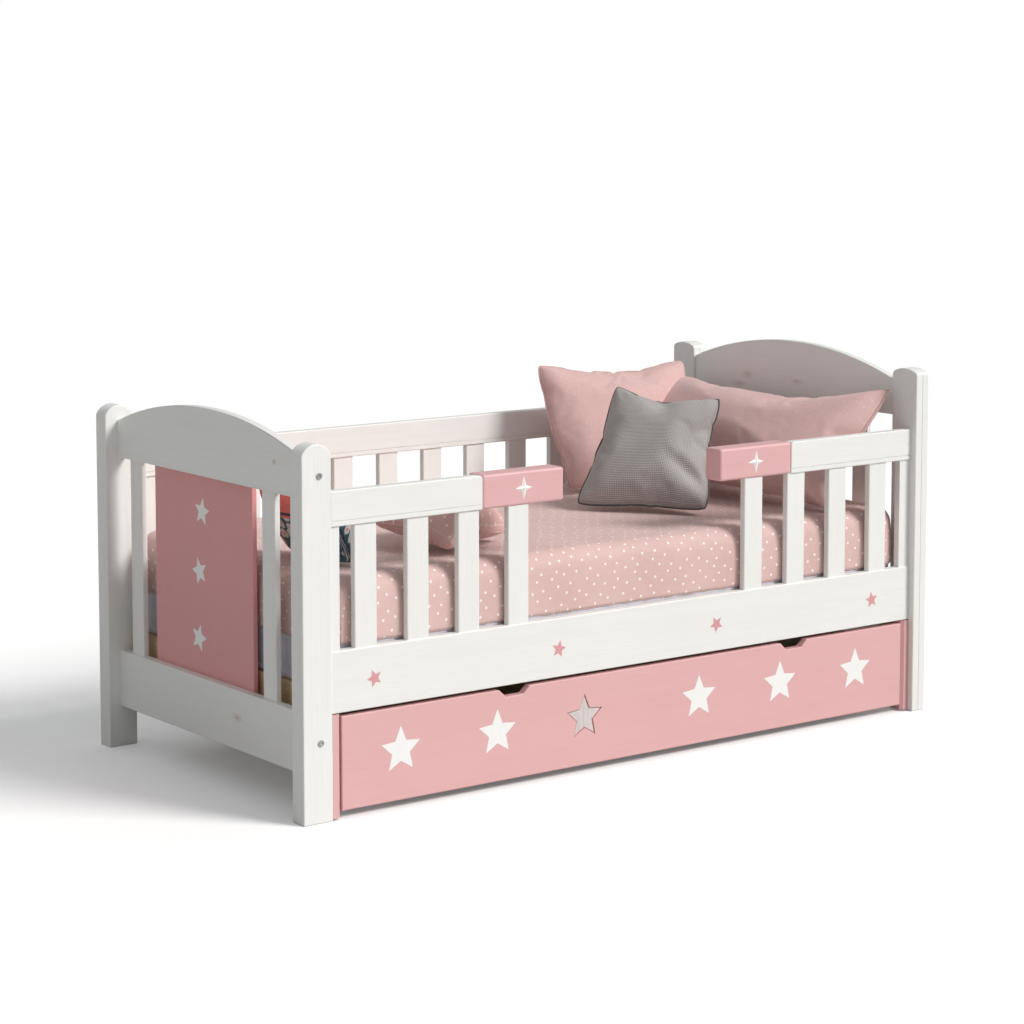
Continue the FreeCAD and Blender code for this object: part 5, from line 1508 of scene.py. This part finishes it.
    def build(self, flat: np.ndarray, faces: list[tuple[int, ...]], rim: list[int],
              blown: np.ndarray) -> bpy.types.Object:
        """Makes the cushion with its seam.

        Args:
            flat: the flat cover.
            faces: its faces.
            rim: its rim's points in order.
            blown: the cover after the simulation.

        Returns:
            The piece.
        """
        points = self.laid(flat, blown)
        inset = np.minimum(self.flat[0] / 2 - np.abs(flat[:, 0]), self.flat[1] / 2 - np.abs(flat[:, 1]))
        shifted = flat[:, 0] + np.where(flat[:, 2] < 0, self.flat[0] + self.seam_gap, 0.0)
        place = np.column_stack([shifted, flat[:, 1], inset])
        piece = finer(mesh_piece(self.name, points, faces, self.finish, place))
        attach(piece, BED)
        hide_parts(self.node)
        seam = tube(self.name + "_seam", points[rim], self.seam, self.piping)
        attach(seam, BED)
        return piece


@dataclass
class Bedding:
    """The cushions on the bed, blown up together."""

    cushions: tuple[Cushion, ...]
    frames: int = 24

    def build(self) -> list[bpy.types.Object]:
        """Blows the covers up, lays them and gives them their seams.

        Returns:
            The pieces.
        """
        covers = [cushion.grid() for cushion in self.cushions]
        blown = self.simulated(covers)
        return [cushion.build(*cover, shape) for cushion, cover, shape in zip(self.cushions, covers, blown)]

    def simulated(self, covers: Sequence[tuple]) -> list[np.ndarray]:
        """Runs the cloth simulation of all the covers at once.

        Args:
            covers: the flat covers, as grid() gives them.

        Returns:
            The points of each blown cover, about its own middle.
        """
        scene = bpy.context.scene
        places = [APART * number for number in range(len(covers))]
        loose = [cushion.loose(cover[0], cover[1], at)
                 for cushion, cover, at in zip(self.cushions, covers, places)]
        for number in range(1, self.frames + 1):
            scene.frame_set(number)
        graph = bpy.context.evaluated_depsgraph_get()
        shapes = []
        for piece, at in zip(loose, places):
            mesh = piece.evaluated_get(graph).data
            points = np.zeros(len(mesh.vertices) * 3, np.float32)
            mesh.vertices.foreach_get("co", points)
            shapes.append(points.reshape(-1, 3).astype(float) - (at, 0.0, LOFT))
        for piece in loose:
            data = piece.data
            bpy.data.objects.remove(piece)
            bpy.data.meshes.remove(data)
        scene.frame_set(1)
        return shapes


PALETTE = Palette()
PILLOW = Cotton("pillow_cotton", (0.70, 0.47, 0.45), (0.57, 0.35, 0.33), dot_pitch=0.030,
                dot_radius=0.0022, dot_share=0.75, dot_strength=0.55, dot_colour=(0.80, 0.62, 0.60),
                threads=520.0)
SMALL_PILLOW = Cotton("small_pillow_cotton", (0.70, 0.47, 0.44), (0.57, 0.34, 0.31), dot_pitch=0.024,
                      dot_radius=0.0026, threads=620.0)
PILLOW_SEAM = Cotton("pillow_seam", (0.70, 0.47, 0.44), (0.58, 0.35, 0.33), dot_share=0.0, seam_inset=0.9)
KNIT = Knitted("grey_knit", (0.56, 0.53, 0.515), (0.27, 0.245, 0.235), rib=0.0044, row=0.0040)
KNIT_SEAM = Knitted("grey_knit_piping", (0.16, 0.165, 0.17), (0.06, 0.06, 0.065), rib=0.003, row=0.003)
PRINT = Printed("print_cotton")
PRINT_SEAM = Printed("print_piping", ground=(0.02, 0.03, 0.05), leaf=(0.03, 0.05, 0.07),
                     petal=(0.03, 0.05, 0.07), bright_from=9.0)

CUSHIONS = (
    Cushion("pillow_on_rear_guard", "back_pillow", "pillow_cotton", PILLOW, PILLOW_SEAM, (0.50, 0.37), 0.135,
            ((-212, -72, -152), (5, -80, -160), (228, -70, -150),
             (-218, 0, 0), (0, 0, 0), (240, 2, 0),
             (-214, 66, 150), (30, 62, 141), (262, 59, 133)), back=0.85),
    Cushion("pillow_on_headboard", "head_pillow", "pillow_cotton", PILLOW, PILLOW_SEAM, (0.76, 0.42), 0.150,
            ((-120, 366, -125), (-150, -54, -126), (-5, -354, -136),
             (12, 380, -8), (-12, 6, -16), (8, -359, -55),
             (122, 374, 94), (132, 16, 96), (158, -350, 132)), back=0.55, blunt=0.02, full=0.6),
    Cushion("grey_knit_cushion", "knit_cushion", "grey_knit", KNIT, KNIT_SEAM, (0.34, 0.34), 0.125,
            ((-184, 74, -122), (-96, -66, -126), (2, -192, -126),
             (-92, 121, 0), (0, 0, 0), (92, -121, 0),
             (19, 174, 143), (79, 55, 112), (166, -50, 123)), back=0.8, seam=0.0020,
            creases=(Crease((0.35, -0.30), (1.0, -0.75), 0.020, 0.10),
                     Crease((-0.15, 1.0), (0.15, 0.45), 0.022, 0.22),
                     Crease((-1.0, -0.35), (-0.75, -0.85), 0.010, 0.10))),
    Cushion("small_pillow_at_foot", "small_pillow", "pillow_cotton", SMALL_PILLOW, PILLOW_SEAM,
            (0.28, 0.245), 0.120,
            ((-75, -142, -48), (36, -104, -40), (150, -46, -44),
             (-118, -52, -14), (0, 0, 0), (110, 52, -18),
             (-155, 48, -6), (-45, 98, -4), (68, 142, -28)), back=0.85),
    Cushion("patterned_cushion_at_foot", "patterned_cushion", "print_cotton", PRINT, PRINT_SEAM,
            (0.26, 0.21), 0.085,
            ((46, -118, -92), (50, 0, -94), (46, 118, -92),
             (0, -122, -6), (0, 0, -6), (0, 122, -6),
             (-46, -112, 74), (-50, 0, 78), (-46, 112, 74)), back=0.9, seam=0.0018, pull=0.2, blunt=0.14,
            full=0.6),
)


@dataclass
class PaintedBoards:
    """The bed's painted frame: posts, ends, side rails, guards and battens."""

    posts: tuple[str, ...] = ("foot_post_front", "foot_post_rear", "head_post_front", "head_post_rear")
    uprights: tuple[str, ...] = ("foot_slats", "head_slats", "foot_guard_slats", "head_guard_slats",
                                 "rear_guard_slats")
    cross_boards: tuple[str, ...] = ("foot_arch", "foot_rail", "head_arch", "head_rail")
    long_boards: tuple[str, ...] = ("front_side_rail", "rear_side_rail", "foot_guard_rail", "head_guard_rail",
                                    "rear_guard_rail")
    panels: tuple[str, ...] = ("foot_star_panel", "head_star_panel")
    pink_uprights: tuple[str, ...] = ("foot_batten", "head_batten")
    pink_blocks: tuple[str, ...] = ("foot_guard_cap", "head_guard_cap")
    stars: tuple[str, ...] = ("foot_panel_stars", "head_panel_stars", "guard_cap_stars")
    rail_stars: tuple[str, ...] = ("front_rail_stars",)

    def build(self) -> int:
        """Paints the boards.

        Returns:
            How many parts were painted.
        """
        done = dress(self.posts + self.uprights, PALETTE.white_lacquer(Along.HEIGHT))
        done += dress(self.cross_boards, PALETTE.white_lacquer(Along.WIDTH))
        done += dress(self.long_boards, PALETTE.white_lacquer(Along.LENGTH))
        # the star panels take a shaded copy of the pink: painted shade
        done += dress(self.panels, PALETTE.panel_lacquer())
        done += dress(self.pink_uprights, PALETTE.pink_lacquer(Along.HEIGHT))
        done += dress(self.pink_blocks, PALETTE.pink_lacquer(Along.LENGTH))
        done += dress(self.stars, PALETTE.white_inlay())
        return done + dress(self.rail_stars, PALETTE.pink_inlay())


@dataclass
class SlatBase:
    """The bare wood under the mattress."""

    ledgers: tuple[str, ...] = ("front_ledger", "rear_ledger")
    slats: tuple[str, ...] = ("base_slats", "end_bearers")
    dowels: tuple[str, ...] = ("joint_dowels",)

    def build(self) -> int:
        """Waxes the ledgers, slats and dowels.

        Returns:
            How many parts were dressed.
        """
        done = dress(self.ledgers + self.dowels, PALETTE.pine(Along.LENGTH))
        return done + dress(self.slats, PALETTE.pine(Along.WIDTH))


@dataclass
class Fittings:
    """Bolts, nuts, brackets, screws and the castors' steel."""

    steel: tuple[str, ...] = ("end_bolts", "barrel_nuts", "corner_brackets", "bracket_screws", "panel_screws",
                              "base_slat_screws", "ledger_screws", "castor_forks", "castor_axles",
                              "castor_screws")

    def build(self) -> int:
        """Plates the steel.

        Returns:
            How many parts were dressed.
        """
        return dress(self.steel, Steel("zinc_steel"))


@dataclass
class Drawer:
    """The drawer: pink front with white stars, white box, plywood bottom and nylon wheels."""

    front: tuple[str, ...] = ("drawer_front",)
    stars: tuple[str, ...] = ("drawer_stars",)
    sunk: tuple[str, ...] = ("drawer_sunk_star",)
    sides: tuple[str, ...] = ("drawer_side_foot", "drawer_side_head")
    back: tuple[str, ...] = ("drawer_back",)
    bottom: tuple[str, ...] = ("drawer_bottom",)
    wheels: tuple[str, ...] = ("drawer_wheel_front_foot", "drawer_wheel_front_head", "drawer_wheel_rear_foot",
                               "drawer_wheel_rear_head")

    def build(self) -> int:
        """Dresses the drawer and its wheels.

        Returns:
            How many parts were dressed.
        """
        done = dress(self.front, PALETTE.pink_lacquer(Along.LENGTH))
        done += dress(self.stars, PALETTE.white_inlay())
        # the sunk star's greyer white is painted shade from its recess
        done += dress(self.sunk, PALETTE.sunk_inlay())
        done += dress(self.sides, PALETTE.white_lacquer(Along.WIDTH))
        done += dress(self.back, PALETTE.white_lacquer(Along.LENGTH))
        done += dress(self.bottom, PALETTE.birch_ply())
        return done + dress(self.wheels, Nylon("castor_plastic"))


@dataclass(frozen=True)
class FloorPaint(Finish):
    """Pale studio floor, a little uneven, that throws less light back than it shows, and glows a little to the
    camera as painted light that lifts its shadows.
    """

    name: str = "studio_floor"
    pale: Colour = (0.97, 0.97, 0.97)
    duller: Colour = (0.95, 0.95, 0.952)
    thrown: Colour = (0.54, 0.53, 0.52)
    glow_to_camera: float = 0.12

    def build(self) -> bpy.types.Material:
        """Makes the floor's paint.

        Returns:
            The material.
        """
        wires, shader, material = self.start()
        cloud = Effects.place(wires, Effects.clouding(), Vector=self.everywhere(wires), Scale=0.7)
        seen = wires.blend(wires.times(cloud["Slow"], 0.3), self.pale, self.duller)
        direct = wires.add("LightPath").outputs["Is Camera Ray"]
        wires.feed(shader.inputs["Base Color"], wires.blend(direct, self.thrown, seen))
        # Painted light: the floor glows for camera rays, lifting its shadows.
        wires.feed(shader.inputs["Emission Strength"], wires.times(direct, self.glow_to_camera))
        wires.feed(shader.inputs["Emission Color"], (1.0, 1.0, 1.0))
        shader.inputs["Roughness"].default_value = 0.7
        shader.inputs["Specular IOR Level"].default_value = 0.15
        return material


@dataclass
class Studio:
    """Floor, sky and lights."""

    floor_half: float = 60.0
    sky: float = 0.42
    shade: float = 0.42
    sky_colour: Colour = (0.97, 0.985, 1.0)
    bright_from: Point = (0.62, -0.70, 0.35)
    shade_to_sky: tuple[float, float] = (-0.75, 0.65)
    sun_colour: Colour = (1.0, 0.985, 0.965)
    sun: float = 2.8
    sun_from: Point = (0.42, -0.66, 0.62)
    sun_width: float = 24.0

    def build(self) -> None:
        """Makes the floor, the sky and the lights."""
        size = self.floor_half
        corners = np.array([(-size, -size, 0.0), (size, -size, 0.0), (size, size, 0.0), (-size, size, 0.0)])
        mesh_piece("studio_floor", corners, [(0, 1, 2, 3)], FloorPaint())
        light = bpy.data.lights.new("window_light", "SUN")
        light.energy, light.angle = self.sun, math.radians(self.sun_width)
        light.color = self.sun_colour
        lamp = bpy.data.objects.new("window_light", light)
        lamp.rotation_mode = "QUATERNION"
        lamp.rotation_quaternion = Vector(self.sun_from).to_track_quat("Z", "Y")
        bpy.context.scene.collection.objects.link(lamp)
        self.sky_world()

    def sky_world(self) -> None:
        """Makes the sky: white to the eye, and a light of its own strength on each side."""
        world = bpy.data.worlds.new("studio_sky")
        world.use_nodes = True
        wires = Wiring(world.node_tree)
        nodes = world.node_tree.nodes
        dim, white = nodes["Background"], wires.add("Background", None, Color=(1.0, 1.0, 1.0), Strength=1.0)
        wires.feed(dim.inputs["Color"], self.sky_colour)
        heading = wires.vector("NORMALIZE", wires.add("TexCoord").outputs["Generated"])
        facing = wires.vector("DOT_PRODUCT", heading, self.bright_from)
        wires.feed(dim.inputs["Strength"], wires.spread(facing, *self.shade_to_sky, self.shade, self.sky))
        seen = wires.add("LightPath").outputs["Is Camera Ray"]
        mix = wires.add("MixShader", None, Fac=seen)
        wires.feed(mix.inputs[1], dim.outputs[0])
        wires.feed(mix.inputs[2], white.outputs[0])
        wires.feed(nodes["World Output"].inputs["Surface"], mix.outputs[0])
        bpy.context.scene.world = world
        bpy.context.scene.view_settings.view_transform = "Standard"
        bpy.context.scene.view_settings.look = "None"


@dataclass
class Viewpoint:
    """The camera: where it stands, how far it turns and looks down, and its lens with its rise."""

    place: Point = (-3.7038, -4.9320, 1.4917)
    turn: float = 36.704
    down: float = 5.924
    lens: float = 95.84
    sensor: float = 36.0
    raised: float = -0.15
    clip: tuple[float, float] = (0.1, 200.0)

    def build(self) -> bpy.types.Object:
        """Makes the camera and gives it to the scene.

        Returns:
            The camera.
        """
        data = bpy.data.cameras.new("viewpoint")
        data.lens, data.sensor_width, data.shift_y = self.lens, self.sensor, self.raised
        data.clip_start, data.clip_end = self.clip
        camera = bpy.data.objects.new("viewpoint", data)
        camera.location = self.place
        camera.rotation_euler = Euler((math.radians(90.0 - self.down), 0.0, math.radians(-self.turn)))
        bpy.context.scene.collection.objects.link(camera)
        bpy.context.scene.camera = camera
        return camera


def main() -> None:
    """Builds the bed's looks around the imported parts."""
    logging.basicConfig(level=logging.INFO, format="%(name)s: %(message)s")
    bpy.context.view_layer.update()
    Studio().build()
    Viewpoint().build()
    for label, assembly in (("painted boards", PaintedBoards()), ("slat base", SlatBase()),
                            ("fittings", Fittings()), ("drawer", Drawer())):
        LOG.info("%s: %d parts dressed", label, assembly.build())
    for piece in [Mattress().build(), FittedSheet().build(), *Bedding(CUSHIONS).build()]:
        LOG.info("%s: %d faces", piece.name, len(piece.data.polygons))


if __name__ == "__main__":
    main()
